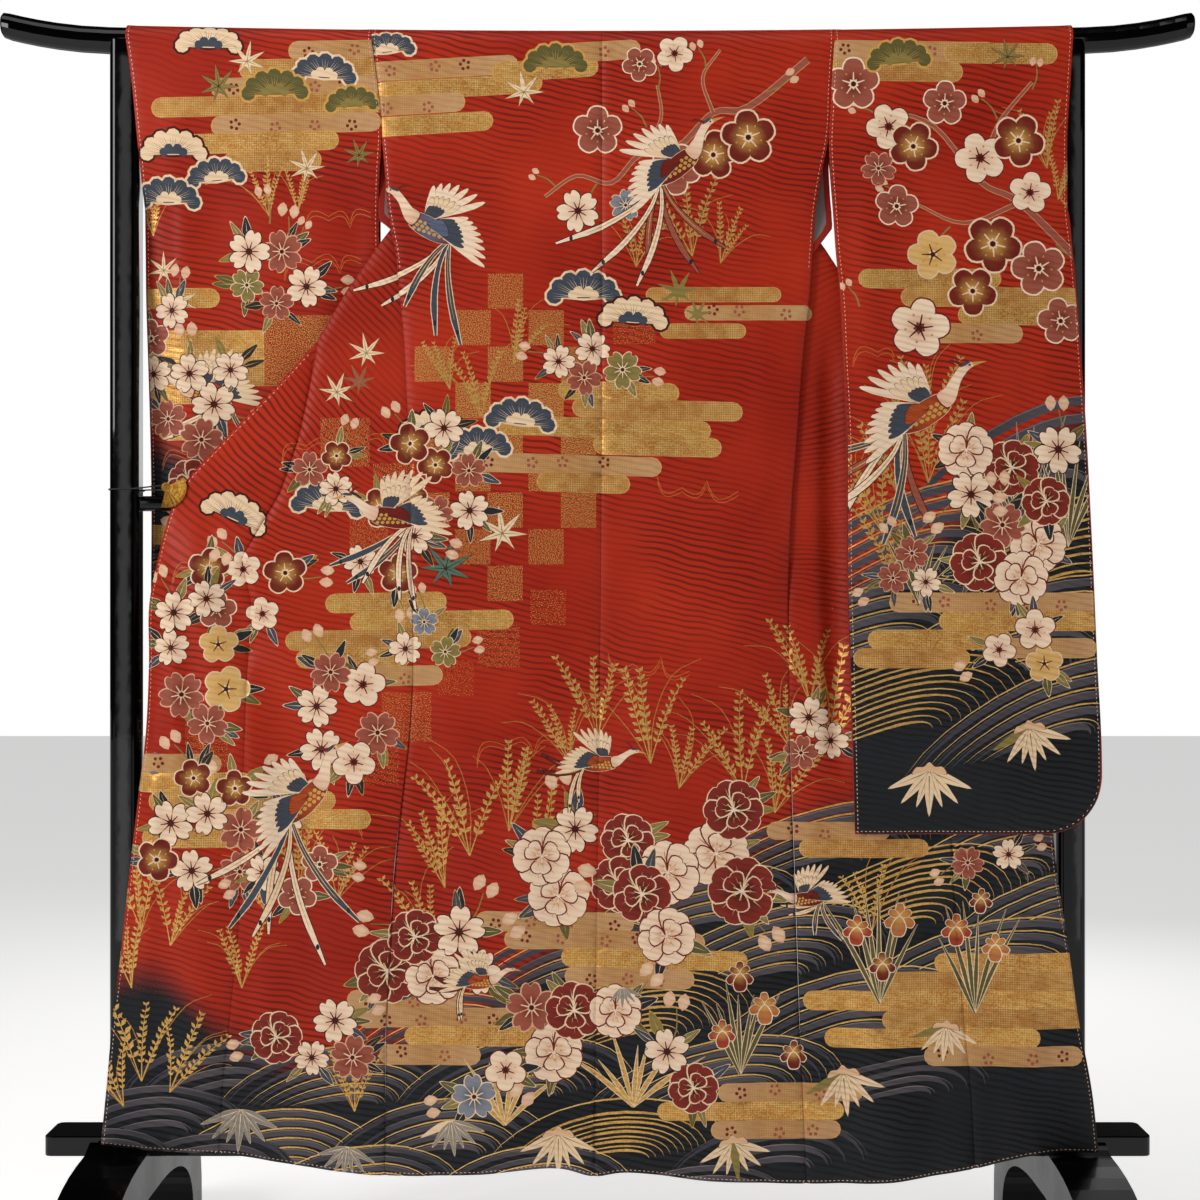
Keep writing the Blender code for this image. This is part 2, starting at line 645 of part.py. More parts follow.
def build_post(name, sign):
    """An upright with a raised centre moulding on its front and back, forked under the bar."""
    half_width = POST_WIDTH / 2
    half_depth = POST_DEPTH / 2
    quarter = [(point.x, half_depth - point.back) for point in POST_MOULDING]
    quarter.append((half_width, half_depth - POST_SHOULDER))
    right_half = [(x, -y) for x, y in quarter] + [(x, y) for x, y in reversed(quarter)]
    outline = right_half + [(-x, y) for x, y in reversed(right_half)]
    centre = sign * POST_X
    top = bar_axis(centre) - SADDLE_TOP
    post = profile_prism(name, [(centre + x, y) for x, y in outline], POST_FOOT, top, LACQUER)
    slope = (bar_axis(centre + POST_WIDTH) - bar_axis(centre - POST_WIDTH)) / (2 * POST_WIDTH)
    bpy.ops.mesh.primitive_cylinder_add(vertices=BAR_SIDES, radius=BAR_RADIUS + SADDLE_GAP,
                                        depth=3 * POST_WIDTH)
    cutter = bpy.context.active_object
    cutter.name = name + "_saddle_cutter"
    cutter.location = (centre, 0.0, bar_axis(centre))
    cutter.rotation_euler = (0.0, math.pi / 2 - math.atan(slope), 0.0)
    cutter.hide_render = True
    cutter.display_type = "WIRE"
    saddle = post.modifiers.new("saddle", "BOOLEAN")
    saddle.operation = "DIFFERENCE"
    saddle.object = cutter
    return post


def build_rail():
    """The round mid rail between the posts."""
    reach = POST_X - POST_WIDTH / 2 - SEAM
    bm = bmesh.new()
    bmesh.ops.create_cone(bm, cap_ends=True, segments=BAR_SIDES, radius1=RAIL_RADIUS,
                          radius2=RAIL_RADIUS, depth=2 * reach)
    rail = mesh_object("mid_rail", bm, LACQUER)
    rail.rotation_euler = (0.0, math.pi / 2, 0.0)
    rail.location = (0.0, 0.0, RAIL_HEIGHT)
    return rail


def build_plank():
    """The low board that ties the feet together."""
    half_depth = PLANK_DEPTH / 2
    corner = PLANK_CORNER
    outline = []
    for cx, cy, start in ((1, -1, -90), (1, 1, 0), (-1, 1, 90), (-1, -1, 180)):
        for step in range(4):
            angle = math.radians(start + 30 * step)
            outline.append((cx * (PLANK_HALF_LENGTH - corner) + corner * math.cos(angle),
                            cy * (half_depth - corner) + corner * math.sin(angle)))
    return profile_prism("plank", outline, PLANK_BOTTOM, PLANK_TOP, LACQUER, PLANK_BEVEL)


def build_foot(name, sign):
    """An arched foot that runs front to back, notched for the plank."""
    notch = PLANK_DEPTH / 2 + SEAM

    def rounded(reach, height, power, start):
        """Points of a quarter of a rounded outline, from near its top down to the floor."""
        first = math.asin((start / reach) ** (power / 2))
        turns = [blend(first, math.pi / 2, step / FOOT_STEPS) for step in range(FOOT_STEPS + 1)]
        return [(reach * math.sin(turn) ** (2 / power), height * abs(math.cos(turn)) ** (2 / power))
                for turn in turns[:-1]] + [(reach, 0.0)]

    outer = rounded(FOOT_REACH, FOOT_HEIGHT, FOOT_ROUND, notch + CHEEK_DEPTH)
    inner = rounded(FOOT_HOLLOW_REACH, FOOT_HOLLOW_HEIGHT, FOOT_HOLLOW_ROUND, notch)
    cheek_middle = (notch + 0.6 * CHEEK_DEPTH, blend(FOOT_HEIGHT, CHEEK_HEIGHT, 0.4))
    cheek = [(notch, PLANK_BOTTOM - SEAM), (notch, CHEEK_HEIGHT), cheek_middle]
    half = cheek + outer + inner[::-1]
    outline = half + [(-y, z) for y, z in reversed(half)]
    bm = bmesh.new()
    left = sign * FOOT_X - FOOT_WIDTH / 2
    face = bm.faces.new([bm.verts.new((left, y, z)) for y, z in outline])
    grown = bmesh.ops.extrude_face_region(bm, geom=[face], use_keep_orig=True)
    moved = [item for item in grown["geom"] if isinstance(item, bmesh.types.BMVert)]
    bmesh.ops.translate(bm, verts=moved, vec=(FOOT_WIDTH, 0.0, 0.0))
    return mesh_object(name, bm, LACQUER, 20)


def clip_plane(sign):
    """Depth of the fan's back: just in front of the cloth's highest point under it."""
    highest = 0.0
    for i in range(12):
        angle = blend(CLIP_START, CLIP_END, i / 11)
        for share in (0.3, 0.65, 1.0):
            radius = share * CLIP_RADIUS
            x = sign * (CLIP_X - radius * math.cos(angle))
            highest = min(highest, turned_y(x, CLIP_Z + radius * math.sin(angle)))
    return highest - CLIP_GAP


def round_pin(bm, radius, near, far, segments, centre):
    """A short cylinder along Y between two depths."""
    made = bmesh.ops.create_cone(bm, cap_ends=True, segments=segments, radius1=radius,
                                 radius2=radius, depth=far - near,
                                 matrix=Matrix.Rotation(math.pi / 2, 4, "X"))
    middle = Vector((centre[0], 0.5 * (near + far), centre[1]))
    bmesh.ops.translate(bm, verts=made["verts"], vec=middle)


def build_clip(name, sign):
    """A small pleated fan on its pivot pin, pressed on the front edge of the garment."""
    back = clip_plane(sign)
    bm = bmesh.new()
    pleats = 2 * CLIP_RIBS
    rows = []
    for i in range(pleats + 1):
        angle = blend(CLIP_START, CLIP_END, i / pleats)
        rise = CLIP_PLEAT if i % 2 else 0.0
        line = []
        for radius in (CLIP_INNER, CLIP_RADIUS):
            x = sign * (CLIP_X - radius * math.cos(angle))
            z = CLIP_Z + radius * math.sin(angle)
            y = back - CLIP_THICKNESS - rise * radius / CLIP_RADIUS
            line.append(bm.verts.new((x, y, z)))
        rows.append(line)
    for first, second in zip(rows, rows[1:]):
        bm.faces.new((first[0], first[1], second[1], second[0]))
    grown = bmesh.ops.extrude_face_region(bm, geom=bm.faces[:], use_keep_orig=True)
    moved = [item for item in grown["geom"] if isinstance(item, bmesh.types.BMVert)]
    bmesh.ops.translate(bm, verts=moved, vec=(0.0, CLIP_THICKNESS, 0.0))
    fan = mesh_object(name, bm, GILT, 20)

    pivot = bmesh.new()
    centre = (sign * CLIP_X, CLIP_Z)
    front = back - CLIP_THICKNESS - CLIP_PLEAT
    round_pin(pivot, CLIP_HEAD, front, back - 0.2 * CLIP_THICKNESS, 20, centre)
    head = mesh_object(name + "_head", pivot, GILT)
    pivot = bmesh.new()
    round_pin(pivot, PIN_RADIUS, back - CLIP_THICKNESS, back + PIN_LENGTH, 16, centre)
    pin = mesh_object(name + "_pin", pivot, GILT)
    for extra in (head, pin):
        extra.hide_render = True
        extra.display_type = "WIRE"
        union = fan.modifiers.new("join", "BOOLEAN")
        union.operation = "UNION"
        union.object = extra
    return fan


def through_points(points, samples):
    """Points of a closed Catmull-Rom curve that passes through its route's points."""
    count = len(points)
    made = []
    for i in range(samples):
        place = i * count / samples
        k = int(place)
        t = place - k
        before, here, after, beyond = (points[(k + n) % count] for n in (-1, 0, 1, 2))
        made.append(0.5 * (2 * here + (after - before) * t
                           + (2 * before - 5 * here + 4 * after - beyond) * t * t
                           + (3 * here - before - 3 * after + beyond) * t ** 3))
    return made


def build_clip_cord(name, sign):
    """The thin cord that ties the clip round the post, from above the pin to below it."""
    loop = PIN_RADIUS + CORD_RADIUS + SEAM
    depth = clip_plane(sign) + 0.6 * PIN_LENGTH
    side = POST_WIDTH / 2 + CORD_RADIUS + SEAM
    face = POST_DEPTH / 2 + CORD_RADIUS + SEAM
    route = [
        (CLIP_X - loop, depth, CLIP_Z),
        (CLIP_X, depth, CLIP_Z + loop),
        (CLIP_X + 0.014, depth + 0.003, CLIP_Z + 0.0024),
        (CLIP_X + 0.033, -face - 0.003, CLIP_Z),
        (POST_X - 0.013, -face, CLIP_Z - 0.0015),
        (POST_X, -face - 0.0001, CLIP_Z - 0.0018),
        (POST_X + 0.013, -face, CLIP_Z - 0.0020),
        (POST_X + 0.0195, -0.0208, CLIP_Z - 0.0021),
        (POST_X + side, -0.0138, CLIP_Z - 0.0022),
        (POST_X + side, 0.0, CLIP_Z - 0.0024),
        (POST_X + side, 0.0138, CLIP_Z - 0.0025),
        (POST_X + 0.0195, 0.0208, CLIP_Z - 0.0026),
        (POST_X + 0.013, face, CLIP_Z - 0.0027),
        (POST_X, face + 0.0001, CLIP_Z - 0.0028),
        (POST_X - 0.013, face, CLIP_Z - 0.0029),
        (POST_X - 0.0195, 0.0208, CLIP_Z - 0.0030),
        (POST_X - side, 0.0138, CLIP_Z - 0.0031),
        (POST_X - side, 0.0020, CLIP_Z - 0.0032),
        (POST_X - side - 0.0020, -0.0100, CLIP_Z - 0.0033),
        (CLIP_X + 0.024, -face, CLIP_Z - 0.0034),
        (CLIP_X + 0.012, depth + 0.004, CLIP_Z - 0.0035),
        (CLIP_X, depth, CLIP_Z - loop),
    ]
    points = through_points([Vector((sign * x, y, z)) for x, y, z in route], CORD_POINTS)
    curve = bpy.data.curves.new(name, "CURVE")
    curve.dimensions = "3D"
    curve.bevel_depth = CORD_RADIUS
    curve.bevel_resolution = 2
    spline = curve.splines.new("POLY")
    spline.points.add(len(points) - 1)
    for place, point in zip(points, spline.points):
        point.co = (*place, 1.0)
    spline.use_cyclic_u = True
    return add_object(name, curve, CORD)


def main():
    clear_scene()
    build_bar()
    build_rail()
    build_plank()
    for side, sign in (("left", -1), ("right", 1)):
        build_post("post_" + side, sign)
        build_foot("foot_" + side, sign)
        build_body("body_" + side, sign)
        build_sleeve("sleeve_" + side, sign)
        build_okumi("okumi_" + side, sign)
        build_clip("fan_clip_" + side, sign)
        build_clip_cord("clip_cord_" + side, sign)
    build_collar()


main()
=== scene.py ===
# %% [markdown]
# # A furisode spread over a kimono stand
#
# A furisode is a kimono with very long sleeves. Here it hangs over the bar of a lacquered stand, its
# back to the viewer, opened out like a sheet. Its fronts are folded behind the back and turned out
# again, and a small fan clip holds each front edge to its post.
#
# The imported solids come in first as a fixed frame. Everything below is placed in that same frame, in
# metres, with +X to the viewer's right, -Y towards the viewer and +Z up.

import math
import random
from collections import namedtuple

import bmesh
import bpy
import numpy as np
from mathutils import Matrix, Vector
from mathutils.geometry import delaunay_2d_cdt


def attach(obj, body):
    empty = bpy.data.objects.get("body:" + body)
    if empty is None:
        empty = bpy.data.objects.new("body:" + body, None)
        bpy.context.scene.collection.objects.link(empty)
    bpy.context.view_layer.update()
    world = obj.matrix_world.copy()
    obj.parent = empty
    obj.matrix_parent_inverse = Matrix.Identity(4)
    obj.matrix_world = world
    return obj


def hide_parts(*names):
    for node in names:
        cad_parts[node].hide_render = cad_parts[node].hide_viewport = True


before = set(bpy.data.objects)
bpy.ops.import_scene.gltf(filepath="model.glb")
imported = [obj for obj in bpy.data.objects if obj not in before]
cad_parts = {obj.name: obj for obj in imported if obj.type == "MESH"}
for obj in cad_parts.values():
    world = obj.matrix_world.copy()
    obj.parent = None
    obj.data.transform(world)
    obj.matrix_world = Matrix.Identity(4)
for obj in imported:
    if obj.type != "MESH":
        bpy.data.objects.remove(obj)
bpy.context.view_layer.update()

# %% [markdown]
# ## The view
#
# The photograph was taken from straight in front, at the height of the garment's middle. A level camera
# three metres away gives the same picture, with the stand's ends and feet just cut by the frame.

# %% Camera
VIEW_DISTANCE = 3.05
VIEW_HEIGHT = 0.9655
VIEW_OFFSET = 0.0035
SENSOR = 36.0
VIEW_WIDTH = 1.698           # what the frame takes in at the garment, 5 cm in front of the middle plane

camera_data = bpy.data.cameras.new("view")
camera_data.sensor_width = SENSOR
camera_data.lens = SENSOR * (VIEW_DISTANCE - 0.05) / VIEW_WIDTH
camera = bpy.data.objects.new("view", camera_data)
camera.location = (VIEW_OFFSET, -VIEW_DISTANCE, VIEW_HEIGHT)
camera.rotation_euler = (math.pi / 2, 0.0, 0.0)
bpy.context.scene.collection.objects.link(camera)
bpy.context.scene.camera = camera

# %% [markdown]
# ## Light and floor
#
# The picture is a cut-out on white, lit softly from the upper left with narrow bright strips that run
# down the gloss of the posts. A white floor, a pale surround, two tall soft lights and one from above do
# that.

# %% Studio
Lamp = namedtuple("Lamp", "name place width height power")
LAMPS = [Lamp(*row) for row in (
    ("key_left", (-2.5, -2.3, 2.3), 0.9, 1.8, 60.0),
    ("fill_right", (2.6, -2.4, 1.2), 0.9, 2.2, 8.0),
    ("above", (-0.3, -0.9, 3.4), 2.6, 1.2, 22.0),
    ("behind", (0.6, 2.6, 2.2), 2.4, 2.0, 26.0),
    ("strip_left", (-1.345, -3.0, 1.0), 0.030, 3.0, 0.6),
    ("strip_right", (1.365, -3.0, 1.0), 0.030, 3.0, 0.5),
)]
AIM = Vector((0.0, 0.0, 0.95))
FLOOR_SIZE = 24.0
FLOOR_GLOW = 0.52            # the paper is lit from below, like the white background
SURROUND_LIGHT = 0.13        # what the pale room gives the object
SURROUND_GLOSS = 0.15        # the share of it that shows in reflections


def linear(text):
    """The linear colour of an sRGB hex value such as #B5281F."""
    parts = [int(text[i:i + 2], 16) / 255 for i in (1, 3, 5)]
    return tuple(p / 12.92 if p <= 0.04045 else ((p + 0.055) / 1.055) ** 2.4 for p in parts)


def add_node(tree, kind, links=None, **settings):
    """Adds a node, sets its properties or its inputs by name, and links inputs to other nodes' outputs."""
    made = tree.nodes.new(kind)
    for name, value in settings.items():
        if hasattr(made, name):
            setattr(made, name, value)
        else:
            made.inputs[name.replace("_", " ")].default_value = value
    for name, source in (links or {}).items():
        tree.links.new(source, made.inputs[name])
    return made


def fractal(tree, place, scale, detail):
    """A noise field; the value runs from 0 to 1."""
    node = add_node(tree, "ShaderNodeTexNoise", {"Vector": place}, Scale=scale, Detail=detail)
    return node.outputs["Fac"]


def new_material(name):
    made = bpy.data.materials.new(name)
    made.use_nodes = True
    tree = made.node_tree
    return made, tree, tree.nodes["Principled BSDF"]


for lamp in LAMPS:
    data = bpy.data.lights.new(lamp.name, "AREA")
    data.shape = "RECTANGLE"
    data.size = lamp.width
    data.size_y = lamp.height
    data.energy = lamp.power
    light = bpy.data.objects.new(lamp.name, data)
    light.location = lamp.place
    light.rotation_euler = (AIM - Vector(lamp.place)).to_track_quat("-Z", "Y").to_euler()
    bpy.context.scene.collection.objects.link(light)

world = bpy.data.worlds.new("pale_room")
world.use_nodes = True
bpy.context.scene.world = world
room = world.node_tree.nodes["Background"]
seen = add_node(world.node_tree, "ShaderNodeLightPath")
level = add_node(world.node_tree, "ShaderNodeMapRange", {"Value": seen.outputs["Is Camera Ray"]},
                 To_Min=SURROUND_LIGHT, To_Max=1.0)
dimmer = add_node(world.node_tree, "ShaderNodeMapRange", {"Value": seen.outputs["Is Glossy Ray"]},
                  To_Min=1.0, To_Max=SURROUND_GLOSS)
strength = add_node(world.node_tree, "ShaderNodeMath", operation="MULTIPLY")
world.node_tree.links.new(level.outputs["Result"], strength.inputs[0])
world.node_tree.links.new(dimmer.outputs["Result"], strength.inputs[1])
room.inputs["Color"].default_value = (1.0, 1.0, 1.0, 1.0)
world.node_tree.links.new(strength.outputs["Value"], room.inputs["Strength"])
bpy.context.scene.view_settings.view_transform = "Standard"

floor_paint, _, floor_shader = new_material("white_paper_floor")
floor_shader.inputs["Base Color"].default_value = (*linear("#F7F6F4"), 1.0)
floor_shader.inputs["Roughness"].default_value = 0.9
floor_shader.inputs["Emission Color"].default_value = (1.0, 1.0, 1.0, 1.0)
floor_shader.inputs["Emission Strength"].default_value = FLOOR_GLOW
bm = bmesh.new()
bmesh.ops.create_grid(bm, x_segments=1, y_segments=1, size=FLOOR_SIZE / 2)
floor_mesh = bpy.data.meshes.new("floor")
bm.to_mesh(floor_mesh)
bm.free()
floor_mesh.materials.append(floor_paint)
floor = bpy.data.objects.new("floor", floor_mesh)
bpy.context.scene.collection.objects.link(floor)

# %% [markdown]
# ## The stand
#
# The stand is wood under many coats of polished lacquer. It is almost black, very smooth, and bright
# where a light runs along it. Lacquer is a clear coat over a dark body, so the shader has both: a dark
# base with a little orange peel, and a coat with a very low roughness that carries the sharp strips of
# light.

# %% Lacquer
LACQUER_PEEL = 0.030         # spacing of the slight waves in the polished surface


def lacquer(name, smoothest, roughest, coat):
    made, tree, shader = new_material(name)
    shader.inputs["Base Color"].default_value = (*linear("#020203"), 1.0)
    shader.inputs["Roughness"].default_value = 0.32
    shader.inputs["Specular IOR Level"].default_value = 0.05
    shader.inputs["Coat Weight"].default_value = coat
    shader.inputs["Coat Roughness"].default_value = 0.03
    place = add_node(tree, "ShaderNodeTexCoord")
    waves = add_node(tree, "ShaderNodeTexNoise", {"Vector": place.outputs["Object"]},
                     Scale=1 / LACQUER_PEEL, Detail=2.0)
    dust = add_node(tree, "ShaderNodeTexNoise", {"Vector": place.outputs["Object"]},
                    Scale=9.0, Detail=5.0)
    rough = add_node(tree, "ShaderNodeMapRange", {"Value": dust.outputs["Fac"]},
                     From_Min=0.35, From_Max=0.75, To_Min=smoothest, To_Max=roughest)
    bump = add_node(tree, "ShaderNodeBump", {"Height": waves.outputs["Fac"]},
                    Strength=0.015, Distance=0.002)
    tree.links.new(rough.outputs["Result"], shader.inputs["Roughness"])
    tree.links.new(bump.outputs["Normal"], shader.inputs["Coat Normal"])
    return made


def dress(node, finish):
    """Gives a solid of the frame a new finish on every face."""
    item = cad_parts[node]
    if not item.material_slots:
        item.data.materials.append(finish)
    for place in item.material_slots:
        place.material = finish


black_lacquer = lacquer("polished_black_lacquer", 0.10, 0.18, 0.45)
foot_lacquer = lacquer("worn_black_lacquer", 0.26, 0.36, 0.10)
STAND = ["bar", "mid_rail", "post_left", "post_right", "plank", "foot_left", "foot_right"]
for node in STAND:
    dress(node, foot_lacquer if node.startswith("foot") else black_lacquer)
print("lacquered", len(STAND), "pieces of the stand")

# %% [markdown]
# ## How the cloth hangs
#
# Each panel is a sheet over a flat plan: its place across, and its height or its way over the bar. A few
# tables give the plan's edges and how far the sheet hangs in front of or behind the stand. Reading them
# with a smooth curve, and adding creases one by one, turns the flat plan into hanging silk.

# %% Sizes of the cloth
WALL = 0.002                 # silk and lining
BAR_HEIGHT = 1.7615
BAR_BOW = 0.0085
BAR_CURL_START = 0.70
WRAP_DEPTH = 0.0252
WRAP_HEIGHT = 0.0220
WRAP_LENGTH = math.pi * 0.5 * (WRAP_DEPTH + WRAP_HEIGHT)
MID_WRAP = BAR_HEIGHT + 0.5 * WRAP_LENGTH     # the plan's height on top of the bar
NECK_TURN = math.radians(150)
NECK_HALF_WIDTH = 0.102
CENTRE_TOP = 0.006
CENTRE_HEM = -0.005
BACK_END = BAR_HEIGHT + WRAP_LENGTH      # plan height where the sheet has come over the bar

Level = namedtuple("Level", "z side_l side_r inner_l inner_r front_l front_r")
LEVELS = [Level(*row) for row in (
    (1.7615, 0.3225, 0.338, 0.108, 0.120, None, None),
    (1.700, 0.314, 0.334, 0.150, 0.162, None, None),
    (1.625, 0.308, 0.330, 0.204, 0.214, None, None),
    (1.570, 0.303, 0.319, 0.244, 0.254, None, None),
    (1.520, 0.299, 0.311, 0.280, 0.289, None, None),
    (1.467, 0.289, 0.307, 0.318, 0.326, None, None),
    (1.400, 0.282, 0.302, 0.364, 0.370, None, None),
    (1.337, 0.276, 0.295, 0.400, 0.404, 0.400, 0.404),
    (1.260, 0.272, 0.288, 0.413, 0.416, 0.469, 0.470),
    (1.190, 0.268, 0.283, 0.428, 0.430, 0.537, 0.536),
    (1.120, 0.266, 0.277, 0.452, 0.453, 0.597, 0.594),
    (1.070, 0.265, 0.274, 0.480, 0.480, 0.615, 0.612),
    (1.026, 0.264, 0.272, 0.505, 0.505, 0.625, 0.622),
    (0.960, 0.262, 0.270, 0.491, 0.493, 0.636, 0.632),
    (0.880, 0.261, 0.271, 0.495, 0.495, 0.635, 0.632),
    (0.780, 0.266, 0.272, 0.497, 0.497, 0.638, 0.634),
    (0.680, 0.277, 0.275, 0.500, 0.499, 0.649, 0.640),
    (0.580, 0.287, 0.278, 0.503, 0.500, 0.660, 0.648),
    (0.480, 0.292, 0.281, 0.507, 0.508, 0.670, 0.663),
    (0.380, 0.297, 0.284, 0.517, 0.515, 0.682, 0.676),
    (0.280, 0.298, 0.288, 0.526, 0.524, 0.690, 0.694),
    (0.140, 0.298, 0.293, 0.534, 0.531, 0.703, 0.707),
)]
FOLD_TIP = 1.026
KENSAKI = 1.337
ARMHOLE_END = 1.467

Hem = namedtuple("Hem", "x z")
HEMLINE = [Hem(*row) for row in (
    (-0.710, 0.202), (-0.626, 0.193), (-0.534, 0.189), (-0.389, 0.169),
    (-0.298, 0.159), (-0.170, 0.1605), (-0.044, 0.166), (-0.005, 0.157),
    (0.030, 0.162), (0.165, 0.151), (0.293, 0.147), (0.432, 0.152),
    (0.531, 0.168), (0.625, 0.189), (0.710, 0.190),
)]

Hang = namedtuple("Hang", "z y")
DISPLAY_HANG = [Hang(*row) for row in (
    (1.763, -0.0252), (1.625, -0.0275), (1.300, -0.035), (1.000, -0.044),
    (0.700, -0.055), (0.400, -0.067), (0.200, -0.077), (0.130, -0.080),
)]
FOLDED_HANG = [Hang(*row) for row in (
    (1.763, 0.0252), (1.745, 0.0235), (1.700, 0.013), (1.660, 0.004),
    (1.625, -0.004), (1.570, -0.008), (1.520, -0.013), (1.467, -0.0245),
    (1.400, -0.0270), (1.300, -0.0295), (1.000, -0.0385),
)]
TURN_GAP = 0.004
TURNED_DROP = [Hang(*row) for row in (
    (1.467, 0.0120), (1.200, 0.0105), (1.070, 0.0095), (1.026, 0.0080),
    (0.960, 0.0030), (0.880, 0.0), (0.100, 0.0),
)]
Lap = namedtuple("Lap", "z left right")
ARMHOLE_LAP = [Lap(*row) for row in (
    (1.625, 0.0, 0.0), (1.570, 0.0088, 0.013), (1.520, 0.0148, 0.024), (1.508, 0.0150, 0.0255),
    (1.497, 0.0020, 0.0270), (1.458, 0.0, 0.0),
)]


def column(table, name):
    return np.array([np.nan if getattr(row, name) is None else getattr(row, name) for row in table])


def read_curve(table, key, value, at):
    """Reads a table's column at each place, along a smooth curve through its rows."""
    keys, values = column(table, key), column(table, value)
    known = ~np.isnan(values)
    order = np.argsort(keys[known])
    keys, values = keys[known][order], values[known][order]
    slopes = np.gradient(values, keys)
    at = np.clip(np.asarray(at, dtype=float), keys[0], keys[-1])
    k = np.clip(np.searchsorted(keys, at) - 1, 0, len(keys) - 2)
    step = keys[k + 1] - keys[k]
    t = (at - keys[k]) / step
    return (values[k] * (1 + 2 * t) * (1 - t) ** 2 + slopes[k] * step * t * (1 - t) ** 2
            + values[k + 1] * t * t * (3 - 2 * t) + slopes[k + 1] * step * t * t * (t - 1))


def read_line(table, key, value, at):
    """Reads a table's column at each place, along straight lines between its rows."""
    keys, values = column(table, key), column(table, value)
    order = np.argsort(keys)
    return np.interp(at, keys[order], values[order])


def smooth(t):
    t = np.clip(t, 0.0, 1.0)
    return t * t * (3.0 - 2.0 * t)


def mix(a, b, t):
    return a + (b - a) * t

LIFT_START = 1.60            # from here up the cloth follows the bend of the bar
TIGHTEST_ROLL = 0.0006       # least radius where the cloth turns over


def bar_lift(x):
    """How much higher the bar's axis is here than in the middle."""
    return BAR_BOW * (x / BAR_CURL_START) ** 2


def hem_z(x):
    return read_curve(HEMLINE, "x", "z", x)


def side_x(sign, z):
    return read_curve(LEVELS, "z", "side_l" if sign < 0 else "side_r", z)


def inner_x(sign, z):
    return read_line(LEVELS, "z", "inner_l" if sign < 0 else "inner_r", z)


def front_x(sign, z):
    return read_curve(LEVELS, "z", "front_l" if sign < 0 else "front_r", z)


def centre_x(z):
    return mix(CENTRE_HEM, CENTRE_TOP, smooth(np.asarray(z) / 1.3))


# %% [markdown]
# ## Creases
#
# Silk this heavy keeps only long soft folds. They run down from where the cloth is held: from the clips,
# from the shoulders, and from the seams, which are a little tighter than the cloth beside them. Each
# fold has its own row, with its ends, height and width. A slow swing along its length keeps it from
# looking ruled.

# %% Folds
Fold = namedtuple("Fold", "x_top z_top x_low z_low height width bow")
FOLDS = [Fold(*row) for row in (
    (-0.585, 1.10, -0.555, 0.30, 0.0100, 0.034, 0.0),
    (-0.575, 1.10, -0.470, 0.62, 0.0125, 0.032, 0.0),
    (-0.600, 1.06, -0.625, 0.52, 0.0070, 0.026, 0.0),
    (-0.545, 1.09, -0.380, 0.80, 0.0080, 0.045, 0.0),
    (-0.350, 0.75, -0.375, 0.15, 0.0080, 0.055, 0.0),
    (-0.160, 0.90, -0.170, 0.15, 0.0060, 0.070, 0.0),
    (0.120, 0.95, 0.130, 0.15, 0.0060, 0.075, 0.0),
    (0.350, 0.90, 0.400, 0.14, 0.0070, 0.050, 0.0),
    (0.560, 1.08, 0.480, 0.60, 0.0060, 0.040, 0.0),
    (0.580, 1.08, 0.590, 0.30, 0.0060, 0.040, 0.0),
    (0.030, 1.50, 0.020, 0.60, -0.0040, 0.050, 0.0),
    (0.329, 1.38, 0.336, 0.80, -0.0100, 0.015, 0.0),
)]
